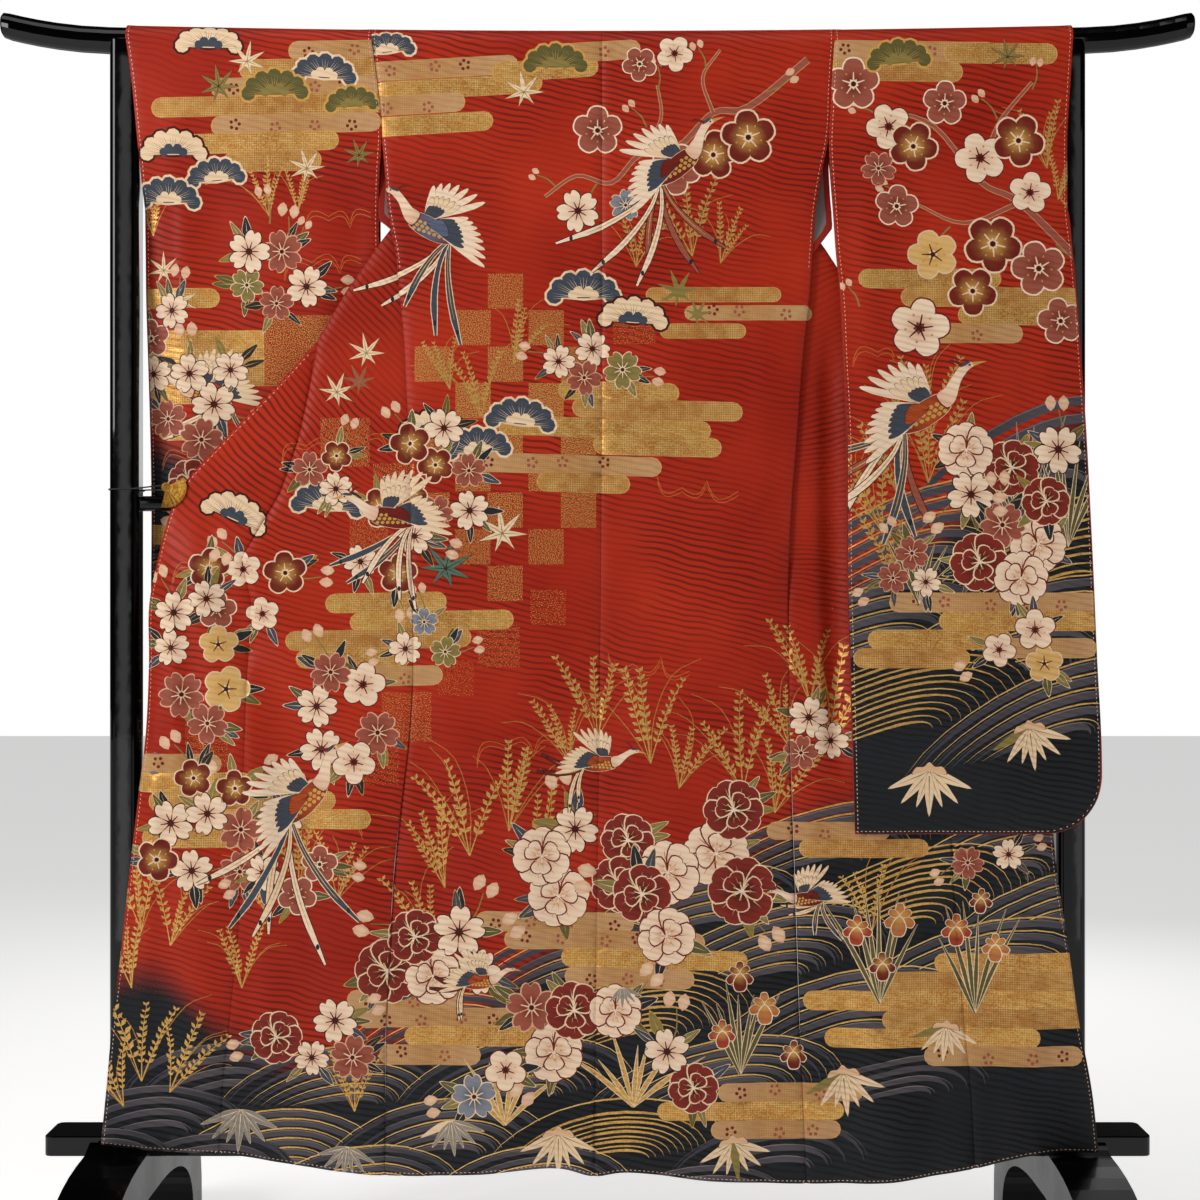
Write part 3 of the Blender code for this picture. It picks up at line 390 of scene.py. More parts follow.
FINE_FOLDS = [Fold(*row) for row in (
    # The left front, fanning out below its clip
    (-0.598, 1.085, -0.586, 0.55, 0.0055, 0.012, 0.004),
    (-0.575, 1.075, -0.530, 0.70, 0.0052, 0.013, 0.006),
    (-0.560, 1.085, -0.497, 0.90, -0.0050, 0.015, 0.004),
    (-0.612, 1.040, -0.640, 0.40, 0.0048, 0.011, -0.004),
    (-0.545, 0.980, -0.520, 0.45, 0.0026, 0.014, 0.005),
    # Across the upper strip, where the edge is pulled out to the clip
    (-0.560, 1.130, -0.420, 1.300, -0.0020, 0.014, 0.004),
    (-0.540, 1.110, -0.400, 1.210, 0.0018, 0.012, -0.004),
    # The left front between its seams
    (-0.470, 0.900, -0.455, 0.200, 0.0030, 0.018, 0.006),
    (-0.415, 0.960, -0.400, 0.180, -0.0028, 0.020, -0.006),
    (-0.330, 0.980, -0.320, 0.160, 0.0030, 0.020, 0.008),
    (-0.300, 0.620, -0.285, 0.400, 0.0024, 0.010, -0.004),
    # The back, left half
    (-0.262, 1.050, -0.250, 0.150, 0.0022, 0.014, 0.005),
    (-0.235, 1.620, -0.215, 0.800, 0.0016, 0.026, 0.008),
    (-0.120, 1.300, -0.105, 0.200, 0.0022, 0.030, -0.010),
    (-0.060, 0.850, -0.050, 0.150, -0.0022, 0.022, 0.006),
    (-0.215, 0.700, -0.225, 0.150, -0.0024, 0.020, 0.006),
    # The back, right half
    (0.055, 1.000, 0.065, 0.150, 0.0024, 0.024, 0.008),
    (0.170, 1.400, 0.190, 0.300, 0.0020, 0.030, -0.010),
    (0.245, 1.560, 0.236, 0.600, 0.0018, 0.018, 0.006),
    (0.215, 0.720, 0.232, 0.145, -0.0022, 0.018, -0.005),
    # The right front, deep and shaded beside the sleeve
    (0.312, 1.350, 0.305, 0.500, 0.0030, 0.016, 0.006),
    (0.340, 1.180, 0.345, 0.145, -0.0036, 0.022, -0.005),
    (0.385, 0.980, 0.415, 0.145, 0.0030, 0.020, 0.006),
    (0.455, 0.860, 0.470, 0.150, -0.0026, 0.020, 0.006),
    (0.585, 1.060, 0.620, 0.200, 0.0032, 0.016, 0.006),
    (0.545, 0.900, 0.560, 0.200, -0.0024, 0.016, -0.004),
    # Small sideways buckles beside the side seams
    (-0.300, 0.520, -0.380, 0.560, 0.0016, 0.012, 0.002),
    (-0.300, 0.430, -0.410, 0.455, 0.0014, 0.014, 0.002),
    (0.290, 0.600, 0.390, 0.640, 0.0014, 0.014, 0.002),
    (0.285, 0.360, 0.370, 0.385, 0.0014, 0.014, 0.002),
)]
SLEEVE_FOLDS_LEFT = [Fold(*row) for row in (
    (-0.600, 1.760, -0.585, 0.640, 0.0030, 0.020, 0.010),
    (-0.545, 1.700, -0.520, 0.900, -0.0022, 0.030, 0.008),
    (-0.480, 1.740, -0.450, 0.640, 0.0022, 0.034, -0.010),
    (-0.400, 1.640, -0.370, 0.640, 0.0030, 0.022, 0.006),
    (-0.350, 1.600, -0.340, 0.900, -0.0022, 0.014, 0.004),
    (-0.635, 1.560, -0.628, 0.900, -0.0014, 0.008, 0.002),
)]
SLEEVE_FOLDS_RIGHT = [Fold(*row) for row in (
    (0.385, 1.740, 0.400, 0.640, 0.0030, 0.020, 0.008),
    (0.352, 1.620, 0.372, 0.900, -0.0020, 0.010, 0.004),
    (0.450, 1.640, 0.470, 0.640, -0.0024, 0.026, -0.008),
    (0.520, 1.730, 0.545, 0.640, 0.0026, 0.034, 0.010),
    (0.610, 1.560, 0.625, 0.640, -0.0026, 0.022, 0.006),
    (0.655, 1.700, 0.672, 0.700, 0.0026, 0.014, -0.004),
)]
FOLD_FADE = 0.20
FOLD_OVERRUN = 0.25
HEM_FOLDS = 0.20


def fold_height(x, z, folds):
    """How far a group of folds stands forward, at many places at once."""
    total = np.zeros_like(x)
    for i, fold in enumerate(folds):
        run_x, run_z = fold.x_low - fold.x_top, fold.z_low - fold.z_top
        length = math.hypot(run_x, run_z)
        share = ((x - fold.x_top) * run_x + (z - fold.z_top) * run_z) / length ** 2
        reach = smooth(share / FOLD_FADE)
        if fold.z_low > HEM_FOLDS:
            reach = reach * smooth((1.0 + FOLD_OVERRUN - share) / FOLD_OVERRUN)
        across = ((x - fold.x_top) * run_z - (z - fold.z_top) * run_x) / length
        swing = fold.bow * np.sin(math.pi * np.clip(share, 0, 1)) + 0.3 * fold.bow * np.sin(7 * share + i)
        uneven = 1.0 + (0.25 * np.sin(5.1 * share + 1.7 * i) if fold.bow else 0.0)
        total = total + fold.height * reach * uneven * np.exp(-((across - swing) / fold.width) ** 2)
    return total


def display_y(x, z):
    hang = read_curve(DISPLAY_HANG, "z", "y", z)
    return hang - fold_height(x, z, FOLDS) - fold_height(x, z, FINE_FOLDS)


def turned_y(x, z):
    """Depth of the fronts, which lie behind the display line above the tip of their fold."""
    low = display_y(x, z) + read_curve(TURNED_DROP, "z", "y", z)
    high = read_curve(FOLDED_HANG, "z", "y", z) + TURN_GAP
    return mix(low, high, smooth((z - ARMHOLE_END + 0.03) / 0.06))


# %% [markdown]
# ## From plan to hanging sheet
#
# The way over the bar is half an oval. Before it the plan height is the real height, and after it the
# plan goes on downwards behind the bar. Near a seam or an edge the cloth rolls back a little, which is
# what draws each seam as a soft line.

# %% Places on the sheets
EDGE_ROLL = 0.0026           # how far an edge rolls back
EDGE_REACH = 0.0034          # over this width


def edge_roll(distance):
    return EDGE_ROLL * np.exp(-(np.maximum(distance, 0.0) / EDGE_REACH) ** 2)


def over_bar(u, v):
    """Splits plan heights into the front drop, the turn over the bar and the rear drop."""
    turn = np.clip((v - BAR_HEIGHT) / WRAP_LENGTH, 0.0, 1.0)
    z = np.where(v <= BAR_HEIGHT, v, BAR_HEIGHT - (v - BACK_END))
    z = np.where((v > BAR_HEIGHT) & (v < BACK_END), BAR_HEIGHT, z)
    lifted = z + bar_lift(u) * smooth((z - LIFT_START) / (BAR_HEIGHT - LIFT_START))
    return turn, z, lifted + WRAP_HEIGHT * np.sin(math.pi * turn)


def fold_line_x(sign, z):
    """Where the front is folded out again, from the neck point down to the tip at the side seam."""
    neck_x = CENTRE_TOP + sign * NECK_HALF_WIDTH
    tip_x = sign * side_x(sign, FOLD_TIP)
    top_z = BAR_HEIGHT + bar_lift(neck_x)
    return mix(neck_x, tip_x, (top_z - np.asarray(z)) / (top_z - FOLD_TIP))


def armhole_x(sign, z):
    """The front's side edge, which laps out past the back's in the armhole."""
    lap = read_line(ARMHOLE_LAP, "z", "left" if sign < 0 else "right", z)
    return sign * (side_x(sign, z) + lap)


def back_place(sign):
    def place(u, v):
        turn, z, height = over_bar(u, v)
        front = display_y(u, z)
        rear = read_curve(FOLDED_HANG, "z", "y", z)
        side = np.abs(u - sign * side_x(sign, z))
        middle = np.abs(u - centre_x(z))
        front = front + edge_roll(np.minimum(side, middle)) + edge_roll(v - hem_z(u))
        y = np.where(v <= BAR_HEIGHT, front, rear)
        y = np.where((v > BAR_HEIGHT) & (v < BACK_END), -WRAP_DEPTH * np.cos(math.pi * turn), y)
        return np.stack([u, y, height], axis=1)
    return place


def front_place(sign):
    def place(u, v):
        fold = np.where(v > FOLD_TIP, fold_line_x(sign, v), -1e3 * sign)
        near = turned_y(u, v)
        behind = read_curve(FOLDED_HANG, "z", "y", v)
        radius = np.maximum(0.5 * (near - behind), TIGHTEST_ROLL)
        past = sign * (fold - u)
        angle = np.clip(past / radius, 0.0, math.pi)
        rolled = (past > 0) & (v > FOLD_TIP)
        x = np.where(rolled, fold - sign * radius * np.sin(angle), u)
        y = np.where(rolled, 0.5 * (near + behind) + radius * np.cos(angle), near)
        seam = np.abs(u - sign * inner_x(sign, v))
        side = np.where(v < FOLD_TIP, np.abs(u - sign * side_x(sign, v)), 1.0)
        y = y + edge_roll(np.minimum(seam, side)) + edge_roll(v - hem_z(u))
        height = v + bar_lift(u) * smooth((v - LIFT_START) / (BAR_HEIGHT - LIFT_START))
        return np.stack([x, y, height], axis=1)
    return place


OKUMI_STEP = 0.0050          # the okumi's upper strip lies this far behind the front's folded edge


def okumi_place(sign):
    def place(u, v):
        inner, front = inner_x(sign, v), front_x(sign, v)
        share = (sign * u - inner) / np.maximum(front - inner, 0.02)
        step = OKUMI_STEP * smooth((v - FOLD_TIP) / 0.05) * (1.0 - smooth(share / 0.8))
        sides = np.minimum(sign * u - inner, front - sign * u)
        y = turned_y(u, v) + step + edge_roll(sides) + edge_roll(v - hem_z(u))
        return np.stack([u, y, v], axis=1)
    return place


SleeveLevel = namedtuple("SleeveLevel", "z inner outer outer_rear front rear")
SLEEVE_LEFT = [SleeveLevel(*row) for row in (
    (1.7615, 0.3225, 0.674, 0.653, -0.0252, 0.0252),
    (1.700, 0.314, 0.665, 0.648, -0.0262, 0.0245),
    (1.625, 0.308, 0.657, 0.649, -0.0275, 0.0235),
    (1.570, 0.312, 0.653, 0.651, -0.0190, 0.0230),
    (1.520, 0.314, 0.652, 0.652, -0.0110, 0.0235),
    (1.467, 0.314, 0.652, 0.652, -0.0060, 0.0245),
    (1.400, 0.313, 0.652, 0.652, -0.0005, 0.0265),
    (1.300, 0.313, 0.650, 0.650, 0.0070, 0.0300),
    (1.200, 0.314, 0.648, 0.648, 0.0120, 0.0330),
    (1.104, 0.315, 0.647, 0.647, 0.0145, 0.0360),
    (1.000, 0.317, 0.648, 0.648, 0.0170, 0.0380),
    (0.880, 0.319, 0.650, 0.650, 0.0190, 0.0370),
    (0.760, 0.321, 0.652, 0.652, 0.0210, 0.0340),
    (0.637, 0.323, 0.652, 0.652, 0.0230, 0.0273),
)]
SLEEVE_RIGHT = [SleeveLevel(*row) for row in (
    (1.7615, 0.338, 0.679, 0.651, -0.0252, 0.0252),
    (1.700, 0.334, 0.675, 0.645, -0.0262, 0.0130),
    (1.660, 0.332, 0.672, 0.646, -0.0268, 0.0040),
    (1.625, 0.330, 0.670, 0.648, -0.0275, -0.0050),
    (1.570, 0.332, 0.669, 0.652, -0.0320, -0.0190),
    (1.520, 0.335, 0.669, 0.669, -0.0390, -0.0285),
    (1.467, 0.338, 0.674, 0.674, -0.0460, -0.0340),
    (1.400, 0.344, 0.679, 0.679, -0.0520, -0.0375),
    (1.300, 0.348, 0.685, 0.685, -0.0590, -0.0425),
    (1.200, 0.352, 0.690, 0.690, -0.0680, -0.0470),
    (1.104, 0.352, 0.694, 0.694, -0.0730, -0.0510),
    (1.000, 0.352, 0.698, 0.698, -0.0770, -0.0560),
    (0.880, 0.355, 0.702, 0.702, -0.0805, -0.0605),
    (0.760, 0.358, 0.707, 0.707, -0.0820, -0.0670),
    (0.637, 0.361, 0.707, 0.707, -0.0795, -0.0752),
)]
SLEEVE_BOTTOM = 0.637
SLEEVE_CORNER = 0.080
SLEEVE_EASE = 1.1
SEWN_SHARE = 0.20            # the layers close over this share of the width at the sewn edge
SEWN_TO = 1.52               # above this height the edge opens at the wrist
SEWN_FADE = 0.05
SLEEVE_ATTACHED = 1.57       # from here up the sleeve draws in to the body


def sleeve_bottom(table, x):
    """The bottom edge, with its rounded outer corner."""
    inset = np.clip(np.abs(x) - (table[-1].outer - SLEEVE_CORNER), 0.0, SLEEVE_CORNER)
    return SLEEVE_BOTTOM + SLEEVE_CORNER - np.sqrt(SLEEVE_CORNER ** 2 - inset ** 2)


def sleeve_place(table, folds):
    def place(u, v):
        turn, z, height = over_bar(u, v)
        rear = v > MID_WRAP
        bottom = sleeve_bottom(table, u)
        eased = SLEEVE_BOTTOM + (z - bottom) * (SLEEVE_EASE - SLEEVE_BOTTOM) / (SLEEVE_EASE - bottom)
        level = np.where(z < SLEEVE_EASE, eased, z)
        inner = read_curve(table, "z", "inner", level)
        outer = np.where(rear, read_curve(table, "z", "outer_rear", level),
                         read_curve(table, "z", "outer", level))
        share = (np.abs(u) - inner) / (outer - inner)
        front_y = read_curve(table, "z", "front", level)
        rear_y = read_curve(table, "z", "rear", level)
        middle = 0.5 * (front_y + rear_y)
        sewn = smooth((share - 1.0 + SEWN_SHARE) / SEWN_SHARE) * (1.0 - smooth((z - SEWN_TO) / SEWN_FADE))
        half = mix(0.5 * (rear_y - front_y), WALL, sewn)
        attached = smooth((z - SLEEVE_ATTACHED) / 0.055) * (1.0 - smooth(share / 0.5))
        creases = fold_height(u, z, folds) * (1.0 - sewn) * smooth((BAR_HEIGHT - z) / 0.15)
        y_front = mix(middle - half, display_y(u, z), attached) - creases
        y_rear = mix(middle + half, read_curve(FOLDED_HANG, "z", "y", z), attached) - creases
        across = np.minimum(np.abs(u) - inner, outer - np.abs(u))
        roll = edge_roll(across) + edge_roll(z - bottom)
        y = np.where(rear, y_rear - 0.5 * roll, y_front + 0.5 * roll)
        y = np.where((v > BAR_HEIGHT) & (v < BACK_END), -WRAP_DEPTH * np.cos(math.pi * turn), y)
        return np.stack([u, y, height], axis=1)
    return place


# %% [markdown]
# ## Plans of the panels
#
# Each plan is one closed line. The side seams, the front edges and the hem come from the tables, and the
# rest follows from how the garment is cut and folded.

# %% Plans
PLAN_STEP = 0.006


def steps(start, end, spacing=PLAN_STEP):
    count = max(2, int(abs(end - start) / spacing) + 1)
    return np.linspace(start, end, count)


def run(x, v):
    """A stretch of outline from matching places across and up."""
    x, v = np.broadcast_arrays(np.asarray(x, dtype=float), np.asarray(v, dtype=float))
    return list(zip(x, v))


def closed(stretches):
    """Joins stretches into one outline that runs anticlockwise as the viewer sees it."""
    points = []
    for stretch in stretches:
        for point in stretch:
            if not points or math.dist(points[-1], point) > SAME_PLACE:
                points.append((float(point[0]), float(point[1])))
    if math.dist(points[0], points[-1]) < SAME_PLACE:
        points.pop()
    area = sum(a[0] * b[1] - b[0] * a[1] for a, b in zip(points, points[1:] + points[:1]))
    return points if area > 0 else points[::-1]


def back_plan(sign):
    """Down the side, along the hem to the centre, up the centre seam, and round the neck and fold."""
    neck_v = BAR_HEIGHT + WRAP_LENGTH * NECK_TURN / math.pi
    neck_x = CENTRE_TOP + sign * NECK_HALF_WIDTH
    top_side = 0.3225 if sign < 0 else 0.338
    corner_x = sign * (side_x(sign, 0.15))
    z = steps(BAR_HEIGHT, float(hem_z(corner_x)))
    side = run(sign * (side_x(sign, z)), z)
    hem_x = steps(side[-1][0], CENTRE_HEM)
    z = steps(float(hem_z(CENTRE_HEM)), neck_v)
    middle = run(centre_x(z), z)
    neck = run(steps(middle[-1][0], neck_x), neck_v)
    z = steps(BAR_HEIGHT, FOLD_TIP + 0.004)
    fold = run(neck_x, steps(neck_v, BACK_END)) + run(fold_line_x(sign, z), BACK_END + BAR_HEIGHT - z)
    z = steps(FOLD_TIP + 0.004, BAR_HEIGHT)
    armhole = run(armhole_x(sign, z), BACK_END + BAR_HEIGHT - z)
    over = run(sign * (top_side), steps(BACK_END, BAR_HEIGHT))
    return closed([side, run(hem_x, hem_z(hem_x)), middle, neck, fold, armhole, over])


def front_plan(sign):
    """Down the rolled fold and the side seam, along the hem, and up the front's inner edge."""
    z = steps(BAR_HEIGHT - 0.012, FOLD_TIP)
    roll = math.pi * np.maximum(0.5 * (turned_y(fold_line_x(sign, z), z)
                                       - read_curve(FOLDED_HANG, "z", "y", z)), TIGHTEST_ROLL)
    fold = run(fold_line_x(sign, z) - sign * roll, z)
    z = steps(FOLD_TIP, float(hem_z(sign * 0.298)))
    side = run(sign * (side_x(sign, z)), z)
    hem_x = steps(side[-1][0], sign * (inner_x(sign, 0.18)))
    z = steps(float(hem_z(hem_x[-1])), BAR_HEIGHT - 0.012)
    inner = run(sign * (inner_x(sign, z)), z)
    return closed([fold, side, run(hem_x, hem_z(hem_x)), inner])


def okumi_plan(sign):
    top = KENSAKI - 0.004
    z = steps(top, float(hem_z(sign * 0.53)))
    inner = run(sign * (inner_x(sign, z)), z)
    hem_x = steps(inner[-1][0], sign * (front_x(sign, 0.19)))
    z = steps(float(hem_z(hem_x[-1])), top)
    outer = run(sign * (front_x(sign, z)), z)
    return closed([inner, run(hem_x, hem_z(hem_x)), outer])


def sleeve_plan(sign, table):
    """Down the inner edge, round the bottom, up the outer edge and over, and the rear the same way."""
    def inner(z):
        return sign * (read_curve(table, "z", "inner", z))

    def bottom_run():
        angle = np.linspace(0, math.pi / 2, 14)
        corner = table[-1].outer - SLEEVE_CORNER
        straight = steps(table[-1].inner, corner)
        x = np.concatenate([straight, corner + SLEEVE_CORNER * np.sin(angle)])
        z = np.concatenate([straight * 0 + SLEEVE_BOTTOM,
                            SLEEVE_BOTTOM + SLEEVE_CORNER * (1 - np.cos(angle))])
        return sign * x, z

    z_down = steps(BAR_HEIGHT, SLEEVE_BOTTOM)
    z_up = steps(SLEEVE_BOTTOM + SLEEVE_CORNER, BAR_HEIGHT)
    bottom_x, bottom_z = bottom_run()
    front = [run(inner(z_down), z_down), run(bottom_x, bottom_z),
             run(sign * read_curve(table, "z", "outer", z_up), z_up)]
    across = steps(BAR_HEIGHT, BACK_END)
    drawn = smooth(((across - BAR_HEIGHT) / WRAP_LENGTH - 0.5) * 3)
    cuff = run(sign * mix(table[0].outer, table[0].outer_rear, drawn), across)
    top = BACK_END + BAR_HEIGHT
    rear = [run(sign * read_curve(table, "z", "outer_rear", z_up[::-1]), top - z_up[::-1]),
            run(bottom_x[::-1], top - bottom_z[::-1]), run(inner(z_down[::-1]), top - z_down[::-1])]
    over = run(sign * (table[0].inner), steps(BACK_END, BAR_HEIGHT))
    return closed(front + [cuff] + rear + [over])


# %% [markdown]
# ## Cutting a panel
#
# A printed panel is one mesh. Its outline, a fine net of points and the outline of every motif go into
# one triangulation of the flat plan, so each motif has a clean edge and no picture is needed. Bmesh has
# no such triangulation, which is why the panels are made from its result. Every triangle takes the
# colour of the topmost motif that covers it. Then all the points move to where the hanging sheet is, at
# once.

# %% Panels
NET = 0.0115                 # spacing of the net of points on the printed face
LINING_NET = 0.014           # and on the lining
LONGEST_EDGE = 0.030         # a motif's longer edges get points between, to follow the creases
SAME_PLACE = 4e-4            # points of an outline closer than this are one
MERGE = 6e-5                 # and points of the printed face
LINING_MERGE = 1e-7
SPILL_SHARE = 1.15           # a patch that covers more than this share of its own area has spilled over
SPILL_AREA = 2e-6
STITCH_REACH = 0.004           # an edge within this of a hem or a side is stitched
TINY = 1e-9
WEAVE_PIVOT = (0.45, 1.1)
WEAVE_TILT = math.radians(34)    # how far the weave of a turned front leans at its top
WEAVE_TILT_START = 0.93
WEAVE_TILT_RISE = 0.34
STITCH_COLOUR = "#E0B49A"
STITCH_LENGTH = 0.0026
STITCH_WIDTH = 0.0009
STITCH_INSET = 0.0042
EDGE_NET = (0.0012, 0.0030)  # extra points this far inside an edge, where the cloth rolls

Patch = namedtuple("Patch", "points inner outer centre reach foil fine")
PLAIN = (0.0, 0.0, 0.0, 0.0)


def loop_area(points):
    after = np.roll(points, -1, axis=0)
    return 0.5 * float(np.sum(points[:, 0] * after[:, 1] - after[:, 0] * points[:, 1]))


def inside(points, outline):
    """Which of many points lie inside a closed outline."""
    x, y = points[:, 0], points[:, 1]
    found = np.zeros(len(points), dtype=bool)
    for (ax, ay), (bx, by) in zip(outline, outline[1:] + outline[:1]):
        if ay == by:
            continue
        crosses = (ay > y) != (by > y)
        found ^= crosses & (x < (bx - ax) * (y - ay) / (by - ay) + ax)
    return found


def edge_distance(points, outline):
    """How far each point lies from the nearest point of an outline."""
    plan = np.array(outline)
    middles = 0.5 * (plan + np.roll(plan, -1, axis=0))
    spots = np.concatenate([plan, middles])
    distance = np.full(len(points), 1.0)
    for spot in spots:
        distance = np.minimum(distance, (points[:, 0] - spot[0]) ** 2 + (points[:, 1] - spot[1]) ** 2)
    return np.sqrt(distance)


def net_points(outline, spacing):
    """A staggered net over the plan, and rows that follow its outline."""
    plan = np.array(outline)
    low, high = plan.min(0), plan.max(0)
    columns = np.arange(low[0], high[0], spacing)
    rows = np.arange(low[1], high[1], spacing * 0.9)
    x, y = np.meshgrid(columns, rows)
    x = x + np.where(np.arange(len(rows)) % 2, spacing / 2, 0.0)[:, None]
    points = np.stack([x.ravel(), y.ravel()], axis=1)
    points = points[inside(points, outline)]
    along = np.roll(plan, -1, axis=0) - np.roll(plan, 1, axis=0)
    along /= np.maximum(np.linalg.norm(along, axis=1, keepdims=True), TINY)
    inward = np.stack([-along[:, 1], along[:, 0]], axis=1)
    points = points[edge_distance(points, outline) > 0.75 * spacing]
    rings = [plan + inward * offset for offset in EDGE_NET]
    rings = [ring[inside(ring, outline)] for ring in rings]
    return np.concatenate([points] + rings)


def twice_areas(a, b, c):
    """Twice the area of each triangle, positive if it turns to the left."""
    return (b[:, 0] - a[:, 0]) * (c[:, 1] - a[:, 1]) - (b[:, 1] - a[:, 1]) * (c[:, 0] - a[:, 0])


def tops_of_faces(faces, owners, places, outlines):
    """The triangles inside the plan, each with the highest outline that covers it.

    An outline that crosses itself can be reported for faces far outside it, which its area gives away.
    Its faces are then tested one by one.
    """
    counts = np.array([len(ids) for ids in owners])
    face_of = np.repeat(np.arange(len(faces)), counts)
    outline_of = np.concatenate([np.array(ids, dtype=int) for ids in owners if ids])
    a, b, c = (places[faces[:, i]] for i in range(3))
    middles = (a + b + c) / 3
    areas = 0.5 * np.abs(twice_areas(a, b, c))
    covered = np.bincount(outline_of, weights=areas[face_of], minlength=len(outlines))
    good = np.ones(len(face_of), dtype=bool)
    for number, points in enumerate(outlines):
        if covered[number] > SPILL_SHARE * abs(loop_area(np.asarray(points))) + SPILL_AREA:
            spill = np.flatnonzero(outline_of == number)
            good[spill] = inside(middles[face_of[spill]], [tuple(point) for point in points])
    face_of, outline_of = face_of[good], outline_of[good]
    best = np.full(len(faces), -1)
    np.maximum.at(best, face_of, outline_of)
    within = np.zeros(len(faces), dtype=bool)
    within[face_of[outline_of == 0]] = True
    return faces[within], best[within]


def with_points_between(points):
    """An outline with points along its long straight edges, so that it bends with the cloth."""
    points = np.asarray(points, dtype=float)
    made = []
    for start, end in zip(points, np.roll(points, -1, axis=0)):
        count = max(1, math.ceil(math.dist(start, end) / LONGEST_EDGE))
        made += [start + (end - start) * share for share in np.arange(count) / count]
    return np.array(made)


def triangulate(outline, patches):
    """Triangulates the plan with the patches' outlines in it: points, triangles and the top patches."""
    plan = np.array(outline)
    low, high = plan.min(0), plan.max(0)
    used = []
    for patch in patches:
        spots = np.asarray(patch.points)
        if np.all(spots.max(0) > low) and np.all(spots.min(0) < high):
            used.append(patch._replace(points=with_points_between(patch.points)))
    points = [tuple(point) for point in outline]
    faces = [list(range(len(outline)))]
    for patch in used:
        first = len(points)
        points += [(float(x), float(y)) for x, y in patch.points]
        faces.append(list(range(first, len(points))))
    points += [tuple(point) for point in net_points(outline, NET).tolist()]
    result = delaunay_2d_cdt([Vector(point) for point in points], [], faces, 0, MERGE, True)
    places = np.array([tuple(point) for point in result[0]])
    triangles, tops = tops_of_faces(np.array(result[2]), result[5], places,
                                    [outline] + [patch.points for patch in used])
    a, b, c = (places[triangles[:, i]] for i in range(3))
    cross = twice_areas(a, b, c)
    triangles[cross < 0] = triangles[cross < 0][:, ::-1]
    return places, triangles, tops, used


def edge_loop(triangles, places):
    """The points round the outside of a triangulated plan, in order."""
    sides = np.concatenate([triangles[:, [0, 1]], triangles[:, [1, 2]], triangles[:, [2, 0]]]).tolist()
    pairs = set(map(tuple, sides))
    after = {}
    for a, b in pairs:
        if (b, a) not in pairs:
            after.setdefault(a, []).append(b)
    start = min(after, key=lambda point: places[point][0])
    found = [start]
    while True:
        here = places[found[-1]]
        way = here - places[found[-2]] if len(found) > 1 else np.array((0.0, -1.0))

        def turn(point):
            step = places[point] - here
            return math.atan2(way[0] * step[1] - way[1] * step[0], way[0] * step[0] + way[1] * step[1])

        best = min(after[found[-1]], key=turn)
        after[found[-1]].remove(best)
        if best == start:
            return found
        found.append(best)


def lining_of(loop_points):
    """Triangulates the lining inside the printed face's own edge."""
    count = len(loop_points)
    points = [tuple(point) for point in loop_points.tolist()]
    points += [tuple(point) for point in net_points(points, LINING_NET).tolist()]
    face = [list(range(count))]
    result = delaunay_2d_cdt([Vector(point) for point in points], [], face, 0, LINING_MERGE, True)
    places = np.array([tuple(point) for point in result[0]])
    made = {source: number for number, sources in enumerate(result[3]) for source in sources}
    triangles = np.array(result[2])
    middles = places[triangles].mean(axis=1)
    triangles = triangles[inside(middles, points[:count])]
    a, b, c = (places[triangles[:, i]] for i in range(3))
    cross = twice_areas(a, b, c)
    triangles[cross > 0] = triangles[cross > 0][:, ::-1]
    return places, triangles, [made[number] for number in range(count)]


def lay(place, plan, depth):
    """Puts points of a plan in space, pushed in from the printed face by a depth."""
    u, v = plan[:, 0], plan[:, 1]
    gap = 0.0006
    right = place(u + gap, v) - place(u - gap, v)
    up = place(u, v + gap) - place(u, v - gap)
    outward = np.cross(right, up)
    outward /= np.maximum(np.linalg.norm(outward, axis=1, keepdims=True), 1e-12)
    return place(u, v) - depth * outward


def add_attributes(mesh, plan, corners, tops, used):
    """Writes the plan as a UV map, and the dye and the foil as attributes of the printed face's corners."""
    spots = plan[corners]
    uv = mesh.uv_layers.new(name="cloth")
    uv.data.foreach_set("uv", spots.ravel())
    dye = np.zeros((len(corners), 4))
    foil = np.zeros((len(corners), 4))
    foil[:, 3] = 1.0
    if used:
        inner = np.array([PLAIN] + [patch.inner for patch in used])
        outer = np.array([PLAIN] + [patch.outer for patch in used])
        centre = np.array([(0.0, 0.0)] + [patch.centre for patch in used])
        reach = np.array([1.0] + [patch.reach for patch in used])
        shine = np.array([(0.0, 0.0, 0.0)] + [patch.foil for patch in used])
        top = np.repeat(tops, 3)
        printed = len(top)
        share = smooth(np.linalg.norm(spots[:printed] - centre[top], axis=1) / reach[top])[:, None]
        dye[:printed] = inner[top] + (outer[top] - inner[top]) * share
        foil[:printed, :3] = shine[top]
    layer = mesh.color_attributes.new("dye", "FLOAT_COLOR", "CORNER")
    layer.data.foreach_set("color", dye.ravel())
    layer = mesh.color_attributes.new("foil", "FLOAT_COLOR", "CORNER")
    layer.data.foreach_set("color", foil.ravel())


def add_point_value(mesh, name, values):
    layer = mesh.attributes.new(name, "FLOAT", "POINT")
    layer.data.foreach_set("value", np.asarray(values, dtype=float))


def day_only(u, v):
    return np.zeros_like(u)


def straight_weave(plan):
    return plan


